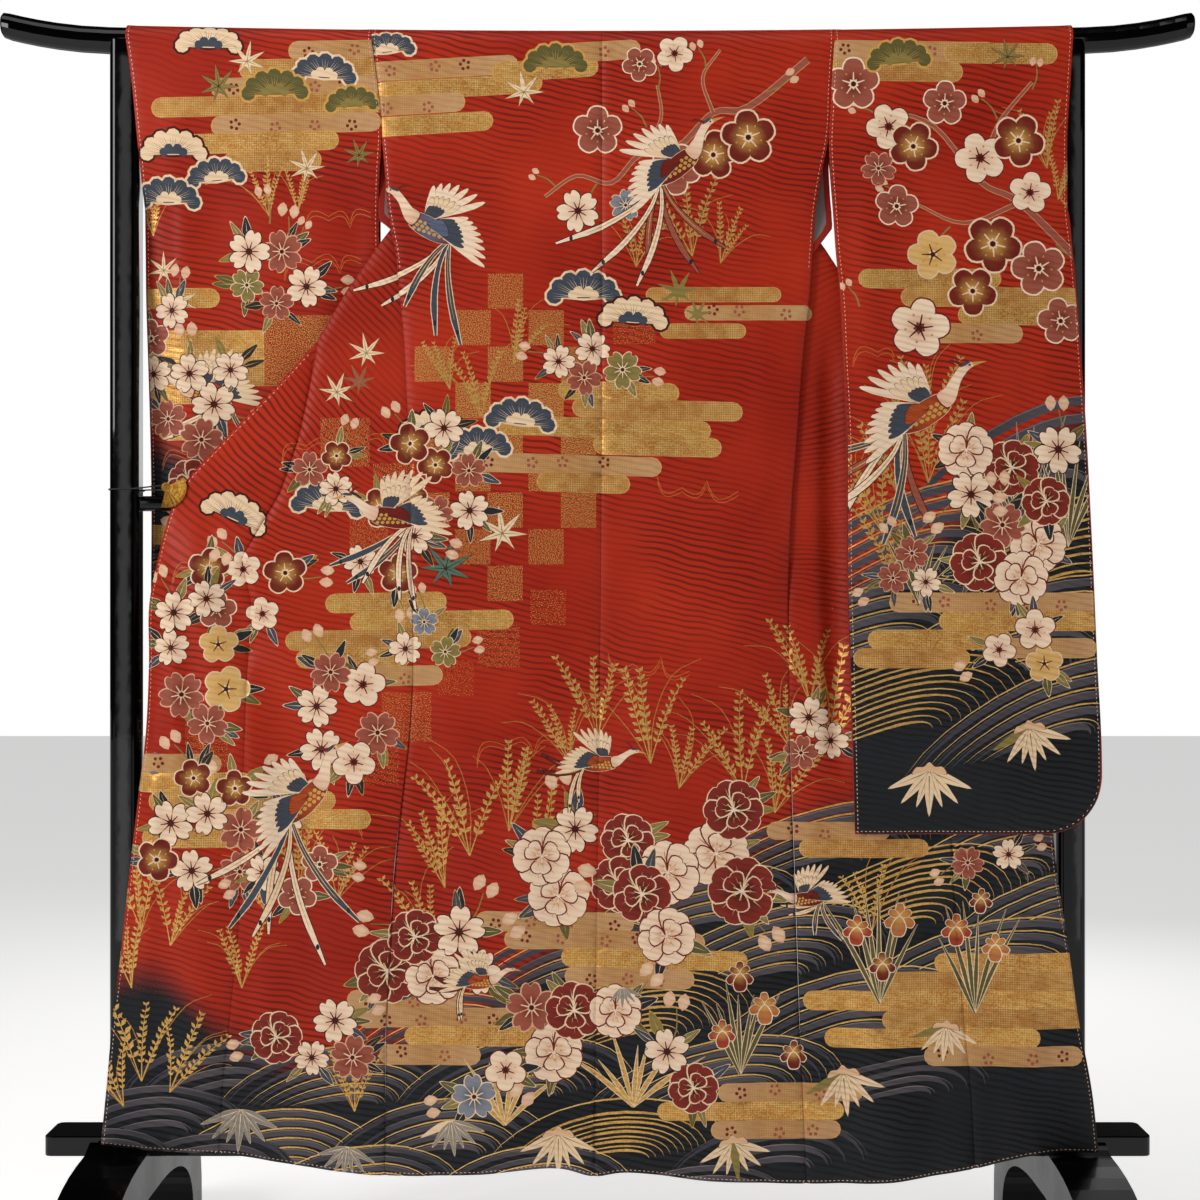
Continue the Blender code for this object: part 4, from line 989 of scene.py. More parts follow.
def tilted_weave(sign):
    """The weave of a front that is turned out, where the cloth lies more and more on its bias."""
    def weave(plan):
        tilt = -sign * WEAVE_TILT * smooth((plan[:, 1] - WEAVE_TILT_START) / WEAVE_TILT_RISE)
        x, z = plan[:, 0] - sign * WEAVE_PIVOT[0], plan[:, 1] - WEAVE_PIVOT[1]
        return np.stack([x * np.cos(tilt) - z * np.sin(tilt), x * np.sin(tilt) + z * np.cos(tilt)], axis=1)
    return weave


def stitches(outline, kept):
    """Short cream running stitches inside an outline, one for each of its steps that is kept."""
    plan = np.array(outline)
    after = np.roll(plan, -1, axis=0)
    middles = 0.5 * (plan + after)
    along = (after - plan) / np.maximum(np.linalg.norm(after - plan, axis=1, keepdims=True), TINY)
    inward = np.stack([-along[:, 1], along[:, 0]], axis=1)
    colour = (*linear(STITCH_COLOUR), 1.0)
    made = []
    for middle, way, side, keep in zip(middles, along, inward, kept(middles[:, 0], middles[:, 1])):
        if keep:
            spot = middle + side * STITCH_INSET
            long, wide = way * STITCH_LENGTH / 2, side * STITCH_WIDTH / 2
            points = np.array([spot - long - wide, spot + long - wide,
                               spot + long + wide, spot - long + wide])
            made.append(Patch(points, colour, colour, tuple(spot), 1.0, (0.0, 0.0, 0.0), True))
    return made


def near_hem(u, v):
    return v < hem_z(u) + STITCH_REACH


def make_panel(name, outline, place, patches, finishes, night=day_only, weave=straight_weave):
    """One lined panel: the printed face, the lining behind it, and the edge that joins them."""
    front, triangles, tops, used = triangulate(outline, patches)
    edge = edge_loop(triangles, front)
    back, lining, back_edge = lining_of(front[edge])
    first = len(front)
    rim = [(b, a, first + back_a, first + back_b) for a, b, back_a, back_b
           in zip(edge, edge[1:] + edge[:1], back_edge, back_edge[1:] + back_edge[:1])]
    spots = np.concatenate([place(front[:, 0], front[:, 1]), lay(place, back, WALL)])
    mesh = bpy.data.meshes.new(name)
    mesh.from_pydata(spots.tolist(), [], triangles.tolist() + (lining + first).tolist() + rim)
    plan = np.concatenate([front, back])
    corners = np.concatenate([triangles.ravel(), (lining + first).ravel(), np.array(rim).ravel()])
    add_attributes(mesh, plan, corners, tops, used)
    mesh.uv_layers.new(name="weave").data.foreach_set("uv", weave(plan)[corners].ravel())
    add_point_value(mesh, "night", night(plan[:, 0], plan[:, 1]))
    add_point_value(mesh, "inset", np.concatenate([np.zeros(first), edge_distance(back, outline)]))
    mesh.polygons.foreach_set("material_index", [0] * len(triangles) + [1] * len(lining) + [2] * len(rim))
    for finish in finishes:
        mesh.materials.append(finish)
    mesh.shade_smooth()
    mesh.update()
    item = bpy.data.objects.new(name, mesh)
    bpy.context.scene.collection.objects.link(item)
    cut = abs(loop_area(np.array(outline)))
    print(name, "triangles", len(triangles) + len(lining) + 2 * len(rim), "patches", len(used),
          "area off by", round(cut - abs(loop_area(front[edge])), 5))
    return item


# %% [markdown]
# ## Drawing motifs
#
# The print is made of common motifs of such robes: plum and cherry blossoms, camellias, maple and pine,
# banks of mist, waves, grasses, irises, bamboo under snow and long-tailed birds. Each is drawn here from
# a few points of its own. A motif is a stack of outlines from back to front. Each has two colours that
# blend from its centre outwards, and how much gold it carries: leaf, scattered dust, and the woven grid.

# %% Strokes and outlines
CREAM = "#E2C4A0"
IVORY = "#E8CDB0"
PINK = "#D3A083"
ROSE = "#96503F"
MAROON = "#6C2018"
BROWN = "#44170F"
SLATE = "#3F4650"
LEAF = "#24292C"
OLIVE = "#84743F"
MOSS = "#5C5630"
GOLD = "#C4944A"
TAN = "#AA7A4A"
MAUVE = "#504B4F"
ORANGE = "#A8481F"
NO_FOIL = (0.0, 0.0, 0.0)
LEAF_FOIL = (1.0, 0.0, 0.0)
HALF_FOIL = (0.45, 0.0, 0.0)
WOVEN_FOIL = (0.8, 0.0, 1.0)
GROUND = None                # paints the bare cloth again


SLACK = 0.0003               # an outline may be simplified by this much


def ink(text, strength=1.0):
    return PLAIN if text is None else (*linear(text), strength)


def thinned(points, slack=SLACK):
    """Drops points where the outline hardly bends there."""
    for start in (1, 0, 1):
        if len(points) < 8:
            break
        before, after = np.roll(points, 1, axis=0), np.roll(points, -1, axis=0)
        chord = after - before
        step = points - before
        off = np.abs(chord[:, 0] * step[:, 1] - chord[:, 1] * step[:, 0])
        off /= np.maximum(np.linalg.norm(chord, axis=1), TINY)
        points = points[(np.arange(len(points)) % 2 != start) | (off > slack)]
    return points


class Print:
    """Collects the outlines of a print, from back to front."""

    def __init__(self):
        self.patches = []

    def add(self, points, inner, outer=None, centre=None, reach=1.0, foil=NO_FOIL, fine=False):
        points = thinned(np.asarray(points, dtype=float))
        if loop_area(points) < 0:
            points = points[::-1]
        middle = points.mean(0) if centre is None else centre
        second = inner if outer is None else outer
        self.patches.append(Patch(points, ink(inner), ink(second), tuple(middle), reach, foil, fine))


def loop(points, per=4):
    """A smooth closed line through a few points."""
    p = np.asarray(points, dtype=float)
    before, after, beyond = np.roll(p, 1, 0), np.roll(p, -1, 0), np.roll(p, -2, 0)
    made = []
    for t in np.arange(per) / per:
        made.append(0.5 * (2 * p + (after - before) * t + (2 * before - 5 * p + 4 * after - beyond) * t ** 2
                           + (3 * p - before - 3 * after + beyond) * t ** 3))
    return np.stack(made, axis=1).reshape(-1, 2)


def curve(points, per=6):
    """A smooth open line through a few points."""
    p = np.asarray(points, dtype=float)
    p = np.concatenate([2 * p[:1] - p[1:2], p, 2 * p[-1:] - p[-2:-1]])
    made = []
    for i in range(1, len(p) - 2):
        before, here, after, beyond = p[i - 1:i + 3]
        for t in np.arange(per) / per:
            made.append(0.5 * (2 * here + (after - before) * t
                               + (2 * before - 5 * here + 4 * after - beyond) * t ** 2
                               + (3 * here - before - 3 * after + beyond) * t ** 3))
    made.append(p[-2])
    return np.array(made)


def stroke(line, widths):
    """An outline round a line, with a width for its start and its end or for each point."""
    line = np.asarray(line, dtype=float)
    if len(widths) != len(line):
        widths = np.interp(np.linspace(0, 1, len(line)), np.linspace(0, 1, len(widths)), widths)
    along = np.gradient(line, axis=0)
    along /= np.maximum(np.linalg.norm(along, axis=1, keepdims=True), TINY)
    across = np.stack([-along[:, 1], along[:, 0]], axis=1) * np.asarray(widths)[:, None] / 2
    return np.concatenate([line + across, (line - across)[::-1]])


def moved(points, x, z, size, turn=0.0, mirror=1.0):
    """Scales, turns (degrees, anticlockwise) and moves points drawn around the origin."""
    c, s = math.cos(math.radians(turn)), math.sin(math.radians(turn))
    p = np.asarray(points, dtype=float) * (size * mirror, size)
    return np.stack([x + p[:, 0] * c - p[:, 1] * s, z + p[:, 0] * s + p[:, 1] * c], axis=1)


def grown(points, share):
    middle = points.mean(0)
    return middle + (points - middle) * share


# %% [markdown]
# ## Flowers and leaves
#
# A blossom is five petals round a dark eye with stamens. The rims are all drawn before the petals, so
# that they join into one line round the flower. Cherry petals have a notch, plum petals are round, and
# camellia petals overlap.

# %% Flowers and leaves
PLUM_PETAL = loop([(0.0, 0.14), (0.25, 0.28), (0.41, 0.60), (0.27, 0.92), (0.0, 1.0),
                   (-0.27, 0.92), (-0.41, 0.60), (-0.25, 0.28)], 2)
CHERRY_PETAL = loop([(0.0, 0.12), (0.20, 0.30), (0.39, 0.62), (0.30, 0.93), (0.13, 1.0), (0.0, 0.86),
                     (-0.13, 1.0), (-0.30, 0.93), (-0.39, 0.62), (-0.20, 0.30)], 2)
CAMELLIA_PETAL = loop([(0.0, 0.10), (0.34, 0.30), (0.56, 0.66), (0.38, 0.94), (0.10, 0.99), (0.0, 0.93),
                       (-0.10, 1.0), (-0.38, 0.92), (-0.56, 0.66), (-0.34, 0.30)], 2)
LEAF_SHAPE = loop([(0.0, 0.0), (0.13, 0.25), (0.15, 0.52), (0.0, 1.0), (-0.15, 0.52), (-0.13, 0.25)], 3)

Look = namedtuple("Look", "petal rim base tip eye stamen thick foil")
LOOKS = {
    "cream_cherry": Look(CHERRY_PETAL, BROWN, PINK, IVORY, BROWN, BROWN, 1.13, NO_FOIL),
    "rose_cherry": Look(CHERRY_PETAL, PINK, MAROON, ROSE, BROWN, CREAM, 1.15, NO_FOIL),
    "maroon_plum": Look(PLUM_PETAL, CREAM, GOLD, MAROON, BROWN, CREAM, 1.18, NO_FOIL),
    "dusty_plum": Look(PLUM_PETAL, IVORY, MAROON, ROSE, BROWN, CREAM, 1.16, NO_FOIL),
    "cream_plum": Look(PLUM_PETAL, MAROON, PINK, IVORY, BROWN, BROWN, 1.13, NO_FOIL),
    "gold_plum": Look(PLUM_PETAL, CREAM, GOLD, "#D2A868", BROWN, BROWN, 1.16, HALF_FOIL),
    "olive_cherry": Look(CHERRY_PETAL, CREAM, MOSS, OLIVE, BROWN, CREAM, 1.13, NO_FOIL),
    "slate_cherry": Look(CHERRY_PETAL, CREAM, SLATE, "#7C8088", BROWN, CREAM, 1.13, NO_FOIL),
}


def flower(out, look, x, z, size, turn=0.0, petals=5):
    style = LOOKS[look]
    shapes = [moved(style.petal, x, z, size, turn + 360 * k / petals) for k in range(petals)]
    for shape in shapes:
        out.add(grown(shape, style.thick), style.rim, foil=style.foil)
    for shape in shapes:
        out.add(shape, style.base, style.tip, (x, z), size * 0.75)
    for k in range(petals):
        ray = moved([(-0.035, 0.08), (0.035, 0.08), (0.02, 0.46), (-0.02, 0.46)], x, z, size,
                    turn + 360 * k / petals)
        out.add(ray, style.stamen, fine=True)
        bud = moved([(0.0, 0.42), (0.045, 0.48), (0.0, 0.54), (-0.045, 0.48)], x, z, size,
                    turn + 360 * (k + 0.5) / petals)
        out.add(bud, GOLD, foil=LEAF_FOIL, fine=True)
    eye = [(math.cos(a), math.sin(a)) for a in np.linspace(0, 2 * math.pi, 8, endpoint=False)]
    out.add(moved(eye, x, z, 0.11 * size), style.eye)


def camellia(out, x, z, size, turn=0.0, dark=True):
    """Ragged overlapping petals in two rings round a knot of stamens."""
    base, tip, rim = (BROWN, "#7E2A20", CREAM) if dark else (PINK, IVORY, MAROON)
    for ring, reach, shift in (((0, 2, 4, 1, 3), 1.0, 0), ((0, 1, 2), 0.60, 40)):
        step = 72 if shift == 0 else 120
        for k in ring:
            shape = moved(CAMELLIA_PETAL, x, z, size * reach, turn + shift + step * k)
            out.add(grown(shape, 1.0 + 0.004 / (size * reach)), rim)
            out.add(shape, base, tip, (x, z), size * reach)
            for lean in (-16, 12):
                vein = moved([(-0.012, 0.45), (0.012, 0.45), (0.0, 0.80)], x, z, size * reach,
                             turn + shift + step * k + lean)
                out.add(vein, rim, fine=True)
    for k in range(7):
        turned = turn + 51 * k + 12
        hair = moved([(-0.018, 0.0), (0.018, 0.0), (0.018, 0.22), (-0.018, 0.22)], x, z, size, turned)
        out.add(hair, IVORY, fine=True)
        knob = moved([(0.0, 0.20), (0.045, 0.25), (0.0, 0.30), (-0.045, 0.25)], x, z, size, turned)
        out.add(knob, GOLD, foil=LEAF_FOIL, fine=True)


def leaf(out, x, z, size, turn, fill=LEAF, rim=CREAM, wide=1.0):
    shape = moved(LEAF_SHAPE * (wide, 1.0), x, z, size, turn)
    out.add(grown(shape, 1.0 + 0.0030 / size), rim)
    out.add(shape, fill)
    rib = moved([(-0.018, 0.05), (0.018, 0.05), (0.0, 0.88)], x, z, size, turn)
    out.add(rib, rim, fine=True)


def twig(out, x, z, size, turn, fill=OLIVE):
    """A bud on a short bent stem."""
    line = moved(curve([(0, 0), (0.10, 0.45), (0.02, 0.9)], 3), x, z, size, turn)
    out.add(stroke(line, (0.0026, 0.0014)), fill)
    for side in (-0.16, 0.14):
        bud = moved(loop([(side, 0.86), (side + 0.13, 1.05), (side, 1.22), (side - 0.13, 1.05)], 2),
                    x, z, size, turn)
        out.add(bud, CREAM, PINK, reach=0.2 * size)


MAPLE_LOBES = [(-150, 0.72), (-100, 0.92), (-50, 1.0), (0, 1.05), (50, 1.0), (100, 0.92), (150, 0.72)]


def maple(out, x, z, size, turn=0.0, fill=CREAM, rim=OLIVE):
    star = []
    for (angle, reach), (after, _) in zip(MAPLE_LOBES, MAPLE_LOBES[1:] + [(180, 0)]):
        a, b = math.radians(90 + angle), math.radians(90 + 0.5 * (angle + after))
        for offset, share in ((-10, 0.52), (0, 1.0), (10, 0.52)):
            c = a + math.radians(offset)
            star.append((share * reach * math.cos(c), share * reach * math.sin(c)))
        star.append((0.26 * math.cos(b), 0.26 * math.sin(b)))
    star = moved(star, x, z, size, turn)
    out.add(grown(star, 1.08), rim)
    out.add(star, fill)
    for angle, reach in MAPLE_LOBES:
        out.add(moved([(-0.02, 0), (0.02, 0), (0, 0.85 * reach)], x, z, size, turn + angle), rim, fine=True)


def pine(out, x, z, size, turn=0.0, fill=SLATE, heart=CREAM, rim=CREAM):
    """A pine bough: seven round lobes in a fan, with a small scalloped heart and fine needles."""
    def lobe(angle, reach, wide):
        a = math.radians(angle)
        b = np.linspace(0, 2 * math.pi, 10)[:-1]
        ball = np.stack([wide * np.cos(b), wide * np.sin(b)], axis=1)
        return ball + (reach * math.cos(a), 0.70 * reach * math.sin(a))

    angles = np.linspace(6, 174, 7)
    spread = [(angle, 0.76, 0.205) for angle in angles]
    for grow, colour in ((0.0034 / size, rim), (0.0, fill)):
        for angle, reach, wide in spread:
            out.add(moved(lobe(angle, reach, wide + grow), x, z, size, turn), colour)
        fan = [(-0.80 - grow, 0.02), (0, -grow), (0.80 + grow, 0.02), (0.60, 0.40), (0.0, 0.60),
               (-0.60, 0.40)]
        out.add(moved(fan, x, z, size, turn), colour)
    for angle, reach, wide in spread:
        for swing in (-7, 0, 7):
            needle = [(0.40, -0.006), (0.40, 0.006), (0.84, 0.0)]
            lean = math.degrees(math.atan2(0.70 * math.sin(math.radians(angle + swing)),
                                           math.cos(math.radians(angle + swing))))
            far = math.hypot(0.70 * math.sin(math.radians(angle)), math.cos(math.radians(angle)))
            out.add(moved(np.array(needle) * (far, 1.0), x, z, size, turn + lean), rim, fine=True)
    for angle in (24, 65, 115, 156):
        out.add(moved(lobe(angle, 0.30, 0.13), x, z, size, turn), heart)
    out.add(moved([(-0.38, 0.03), (0.38, 0.03), (0.20, 0.22), (-0.20, 0.22)], x, z, size, turn), heart)


def grass(out, x, z, size, lean=0.0, seed=1, fill=GOLD, foil=LEAF_FOIL):
    """Spikes of small leaves among thin arching stems."""
    dice = random.Random(seed)
    for k in range(4):
        turn = lean + dice.uniform(-38, 38)
        bend = dice.uniform(0.15, 0.5) * (1 if turn < lean else -1)
        line = curve([(0, 0), (-bend * 0.12, 0.4), (bend * 0.1, 0.8), (bend * 0.7, 1.0)], 3)
        out.add(stroke(moved(line, x, z, size * dice.uniform(0.7, 1.1), turn), (0.0014, 0.0008)),
                "#A8702F", foil=HALF_FOIL)
    for stem in range(3):
        turn = lean + (stem - 1) * dice.uniform(9, 17)
        reach = size * dice.uniform(0.70, 1.0)
        bend = dice.uniform(-0.10, 0.10) + 0.05 * (1 - stem)
        line = curve([(0, 0), (bend * 0.4, 0.35), (bend, 0.7), (bend * 1.9, 1.0)], 3)
        out.add(stroke(moved(line, x, z, reach, turn), (0.0016, 0.0008)), fill, foil=foil)
        for k in range(10):
            share = 0.24 + 0.080 * k
            spot = np.array([np.interp(share, line[:, 1], line[:, 0]), share])
            for side in (-1, 1):
                tilt = side * dice.uniform(28, 55)
                long = (0.095 - 0.06 * abs(share - 0.5)) * dice.uniform(0.8, 1.2)
                shape = moved([(0, 0), (0.24, 0.5), (0, 1.0), (-0.24, 0.5)], spot[0], spot[1], long, tilt)
                out.add(moved(shape, x, z, reach, turn), fill, foil=foil, fine=True)


def blades(out, x, z, size, count=6, seed=1, fill=OLIVE, foil=NO_FOIL, spread=26):
    """Long narrow leaves from one root."""
    dice = random.Random(seed)
    for k in range(count):
        turn = -spread + 2 * spread * (k + dice.uniform(0.2, 0.8)) / count
        bend = -0.012 * turn * dice.uniform(0.3, 0.9) / 3
        line = curve([(0, 0), (bend * 0.3, 0.5), (bend * 1.2, 1.0)], 4)
        reach = size * dice.uniform(0.6, 1.0)
        out.add(stroke(moved(line, x, z, reach, turn), (0.003, 0.0085, 0.006, 0.0008)), CREAM)
        out.add(stroke(moved(line, x, z, reach, turn), (0.002, 0.0060, 0.004, 0.0004)), fill, foil=foil)


def iris(out, x, z, size, seed=1, fill=MAROON):
    dice = random.Random(seed)
    petals = [(0, 0.50, 1.0), (118, 0.62, 0.9), (-118, 0.62, 0.9), (62, 0.46, 0.9), (-62, 0.46, 0.9),
              (180, 0.72, 1.2)]
    for turn, reach, wide in petals:
        shape = loop([(0, 0), (0.30 * wide, 0.45), (0.24 * wide, 0.90), (0, 1.0), (-0.24 * wide, 0.90),
                      (-0.30 * wide, 0.45)], 3)
        shape = moved(shape, x, z, size * reach, turn + dice.uniform(-6, 6))
        out.add(grown(shape, 1.0 + 0.005 / size), IVORY)
        out.add(shape, GOLD, fill, (x, z), size * 0.5)


def bamboo(out, x, z, size, turn=0.0, fill=CREAM, rim=OLIVE, snow=True):
    """Long leaves that spread from under a small cap of snow."""
    for angle, reach in ((-112, 0.95), (112, 0.95), (-138, 0.9), (138, 0.9), (-160, 0.8), (160, 0.8),
                         (180, 0.95)):
        shape = loop([(0, 0), (0.10, 0.30), (0.085, 0.60), (0, 1.0), (-0.085, 0.60), (-0.10, 0.30)], 3)
        shape = moved(shape, x, z, size * reach, turn + angle)
        out.add(grown(shape, 1.0 + 0.003 / size), rim)
        out.add(shape, fill)
        vein = moved([(-0.014, 0.1), (0.014, 0.1), (0, 0.85)], x, z, size * reach, turn + angle)
        out.add(vein, rim, fine=True)
    if snow:
        cap = loop([(0.36, -0.06), (0.28, 0.10), (0.12, 0.10), (0.0, 0.20), (-0.12, 0.10), (-0.28, 0.09),
                    (-0.36, -0.06), (-0.1, 0.0), (0.1, -0.02)], 3)
        cap = moved(cap, x, z, size, turn)
        out.add(grown(cap, 1.0 + 0.003 / size), MAROON)
        out.add(cap, "#D6AE86")


# %% [markdown]
# ## Birds
#
# The birds are of a general long-tailed kind with spread wings. Each is built from the tail up: ribbons
# with an eye near the tip, then far wing, body with a scale pattern, near wing, neck and head.

# %% Birds
def feathers(put, root, start, end, count, reach, fills):
    """A wing: a fan of long feathers under two rows of shorter ones."""
    for row, (share, wide) in enumerate(((1.0, 0.055), (0.60, 0.055), (0.34, 0.05))):
        for k in range(count - row):
            angle = start + (end - start) * (k + 0.5 * row) / (count - 1)
            long = reach * share * (1.0 - 0.42 * k / (count - 1))
            shape = loop([(0, 0), (wide, 0.35 * long), (wide, 0.85 * long), (wide * 0.3, long),
                          (-wide * 0.7, 0.80 * long), (-wide * 0.6, 0.35 * long)], 2)
            put(moved(shape, root[0], root[1], 1.0, angle), fills[row], rim=BROWN, width=0.0009)


def bird(out, x, z, size, turn=0.0, mirror=1.0, coat=ORANGE, wing=IVORY, tail=(IVORY, SLATE), tails=6,
         sweep=-30, reach=2.2, seed=1):
    dice = random.Random(seed)

    def put(points, inner, outer=None, foil=NO_FOIL, rim=None, width=0.0012, fine=False):
        shape = moved(points, x, z, size, turn, mirror)
        if rim:
            out.add(grown(shape, 1.0 + 2 * width / np.ptp(shape, axis=0).max()), rim)
        out.add(shape, inner, outer, foil=foil, reach=0.5 * size, fine=fine)

    for k in range(tails):
        swing = sweep + 11 * (k - (tails - 1) / 2)
        bend = dice.uniform(0.35, 0.8) * (1 if k % 2 else -1)
        long = reach * dice.uniform(0.70, 1.0)
        line = curve([(0, 0), (0.10 * bend, -0.30 * long), (0.45 * bend, -0.65 * long), (bend, -long)], 6)
        line = moved(moved(line, -0.42, -0.16, 1.0, swing), x, z, size, turn, mirror)
        fill = tail[k % len(tail)]
        widths = np.array([0.035, 0.055, 0.065, 0.085, 0.09, 0.03]) * size
        out.add(stroke(line, widths + 0.0024), BROWN if fill != SLATE else CREAM)
        out.add(stroke(line, widths), fill)
        out.add(stroke(line[:-4], widths * 0.16), GOLD, foil=HALF_FOIL)
        tip = line[-3]
        spot = [(0.03 * math.cos(a), 0.045 * math.sin(a)) for a in np.linspace(0, 6.28, 7)[:-1]]
        out.add(moved(spot, tip[0], tip[1], size), LEAF)
    feathers(put, (0.02, 0.06), 62, 4, 7, 1.0, (wing, CREAM, SLATE))
    put(loop([(-0.52, -0.18), (-0.34, 0.02), (-0.05, 0.14), (0.18, 0.16), (0.30, 0.06), (0.20, -0.10),
              (-0.10, -0.22), (-0.34, -0.24)], 4), coat, MAROON, rim=CREAM)
    for row in range(3):
        for k in range(7 - row):
            spot_x, spot_z = -0.34 + 0.085 * k + 0.045 * row, -0.155 + 0.070 * row + 0.012 * k
            put(loop([(spot_x - 0.035, spot_z), (spot_x, spot_z - 0.032), (spot_x + 0.035, spot_z),
                      (spot_x, spot_z + 0.030)], 2), GOLD, foil=HALF_FOIL, fine=True)
    feathers(put, (-0.02, 0.02), 116, 72, 8, 1.15, (wing, SLATE, coat))
    put(loop([(0.12, 0.15), (0.26, 0.22), (0.42, 0.36), (0.56, 0.46), (0.68, 0.47), (0.72, 0.40),
              (0.62, 0.36), (0.48, 0.24), (0.34, 0.02), (0.20, -0.04)], 3), IVORY, PINK, rim=BROWN)
    put([(0.70, 0.455), (0.90, 0.41), (0.71, 0.395)], GOLD)
    put(loop([(0.52, 0.43), (0.60, 0.48), (0.69, 0.46), (0.60, 0.43)], 2), SLATE)
    put(curve([(0.58, 0.46), (0.46, 0.56), (0.36, 0.55)], 2).tolist() + [(0.46, 0.52), (0.55, 0.44)],
        MAROON)
    put(loop([(0.640, 0.425), (0.660, 0.440), (0.680, 0.425), (0.660, 0.410)], 2), BROWN)


# %% [markdown]
# ## Mist, gold dust, water and clouds
#
# Banks of mist are rows of bars with round ends. Some are gold leaf over a woven grid, some are tan with
# tiny blossoms. Water is heaped in mounds of curved bands, the nearer mound hiding the farther, and the
# bare charcoal cloth shows between the bands.

# %% Mist and water
def bar(x, z, length, height):
    """A level bar with round ends."""
    r = height / 2
    a = np.linspace(-math.pi / 2, math.pi / 2, 7)
    right = np.stack([x + length / 2 - r + r * np.cos(a), z + r * np.sin(a)], axis=1)
    return np.concatenate([right, np.stack([2 * x - right[:, 0], 2 * z - right[:, 1]], axis=1)])


SWELL_TAIL = 0.55            # how far the lines trail to the left, in half widths
BLOSSOM_PITCH = 0.055
MIST = {                     # fill, second tone and foil of a bar
    "gold": ("#A8641C", "#BE8030", WOVEN_FOIL),
    "tan": (TAN, "#B68A60", (0.0, 0.0, 0.35)),
    "ochre": ("#9A5C20", "#AE7636", (0.3, 0.0, 0.8)),
}


def mist(out, bars, height, slope, seed):
    """Bars laid edge to edge, the tan ones with small blossoms along them."""
    dice = random.Random(seed)
    for x, z, length, kind in bars:
        shape = bar(x, z, length, height * 1.06)
        shape[:, 1] += slope * (shape[:, 0] - x)
        fill, second, foil = MIST[kind]
        out.add(grown(shape, 1.0 + 0.0030 / length), "#C89858")
        out.add(shape, fill, second, (x, z), length * 0.5, foil)
        if kind == "tan":
            for k in range(int(length / BLOSSOM_PITCH)):
                spot_x = x - length / 2 + 0.03 + BLOSSOM_PITCH * k + dice.uniform(-0.01, 0.01)
                spot_z = z + slope * (spot_x - x) + dice.uniform(-0.005, 0.005)
                dots(out, spot_x, spot_z, 0.0062, dice.uniform(0, 72), ROSE if k % 3 else MAROON)


def dots(out, x, z, size, turn, fill):
    """A blossom of five dots."""
    for k in range(5):
        a = math.radians(turn + 72 * k)
        spot = [(0.44 * math.cos(b), 0.44 * math.sin(b)) for b in np.linspace(0, 6.28, 6)[:-1]]
        out.add(moved(spot, x + size * math.cos(a), z + size * math.sin(a), size), fill, fine=True)


def dust_square(out, x, z, size, density):
    half = size / 2
    out.add([(x - half, z - half), (x + half, z - half), (x + half, z + half), (x - half, z + half)],
            GROUND, foil=(0.0, density, 0.0))


def swell_arch(row, share, count=15):
    """One line of a mound of water: it comes from far to the left, goes over the crest, and down."""
    a = np.linspace(0, math.pi * 0.94, count)
    tail = SWELL_TAIL * (1 - a / math.pi) ** 3
    top = np.stack([-np.cos(a) * share - tail, np.sin(a) ** 0.85 * share], axis=1)
    top[:, 0] += row.lean * top[:, 1]
    return moved(top * (row.width / 2, row.height), row.x, row.z, 1.0, row.turn)


def shown_runs(line, mounds):
    """The stretches of a line that the mounds before it leave in sight."""
    shown = np.ones(len(line), dtype=bool)
    for mound in mounds:
        shown &= ~inside(line, [tuple(point) for point in mound])
    wide = shown.copy()
    wide[1:] |= shown[:-1]
    wide[:-1] |= shown[1:]
    runs = np.split(np.arange(len(line)), np.flatnonzero(np.diff(wide.astype(int))) + 1)
    return [stretch for stretch in runs if wide[stretch[0]] and len(stretch) > 2]


# Widths along the lines on a swell
THIN_LINE = (0.0003, 0.0012, 0.0012, 0.0003)
GOLD_LINE = (0.0003, 0.0014, 0.0026, 0.0012, 0.0003)
GOLD_BAND = (0.0003, 0.0030, 0.0040, 0.0020, 0.0003)


def water(out, table):
    """Mounds of water from far to near, each with grey bands between thin gold lines."""
    mounds = [swell_arch(row, 1.0) for row in table]
    for number, row in enumerate(table):
        out.add(mounds[number], GROUND)
        bands = max(4, round(row.bands * 0.75))
        pitch = 1.0 / (bands + 0.4)
        for k in range(bands):
            share = 1.0 - (k + 0.3) * pitch
            thick = row.height * pitch
            grey = (0.0006, 0.46 * thick, 0.62 * thick, 0.46 * thick, 0.0006)
            lines = []
            if row.kind != "gold":
                lines.append((swell_arch(row, share), grey, MAUVE, "#3E3C42", NO_FOIL))
                lines.append((swell_arch(row, share + 0.24 * pitch), THIN_LINE, "#7C726E", "#5C565A",
                              NO_FOIL))
            if row.kind != "dim":
                lines.append((swell_arch(row, share + 0.46 * pitch), GOLD_LINE, GOLD, "#E0B870", LEAF_FOIL))
            if row.kind == "gold":
                lines.append((swell_arch(row, share), GOLD_BAND, GOLD, "#B07E34", LEAF_FOIL))
            for line, widths, first, second, foil in lines:
                for part in shown_runs(line, mounds[number + 1:]):
                    spread = np.interp(part / (len(line) - 1), np.linspace(0, 1, len(widths)), widths)
                    out.add(stroke(line[part], spread), first, second, reach=row.width * 0.4, foil=foil)


def showing(patches):
    """Leaves out each outline that a later one covers whole."""
    low = np.array([patch.points.min(0) for patch in patches])
    high = np.array([patch.points.max(0) for patch in patches])
    kept = []
    for number, patch in enumerate(patches):
        over = np.all((low[number + 1:] <= low[number]) & (high[number + 1:] >= high[number]), axis=1)
        covers = [patches[k] for k in np.flatnonzero(over) + number + 1]
        if not any(inside(patch.points, [tuple(point) for point in cover.points]).all()
                   for cover in covers):
            kept.append(patch)
    return kept


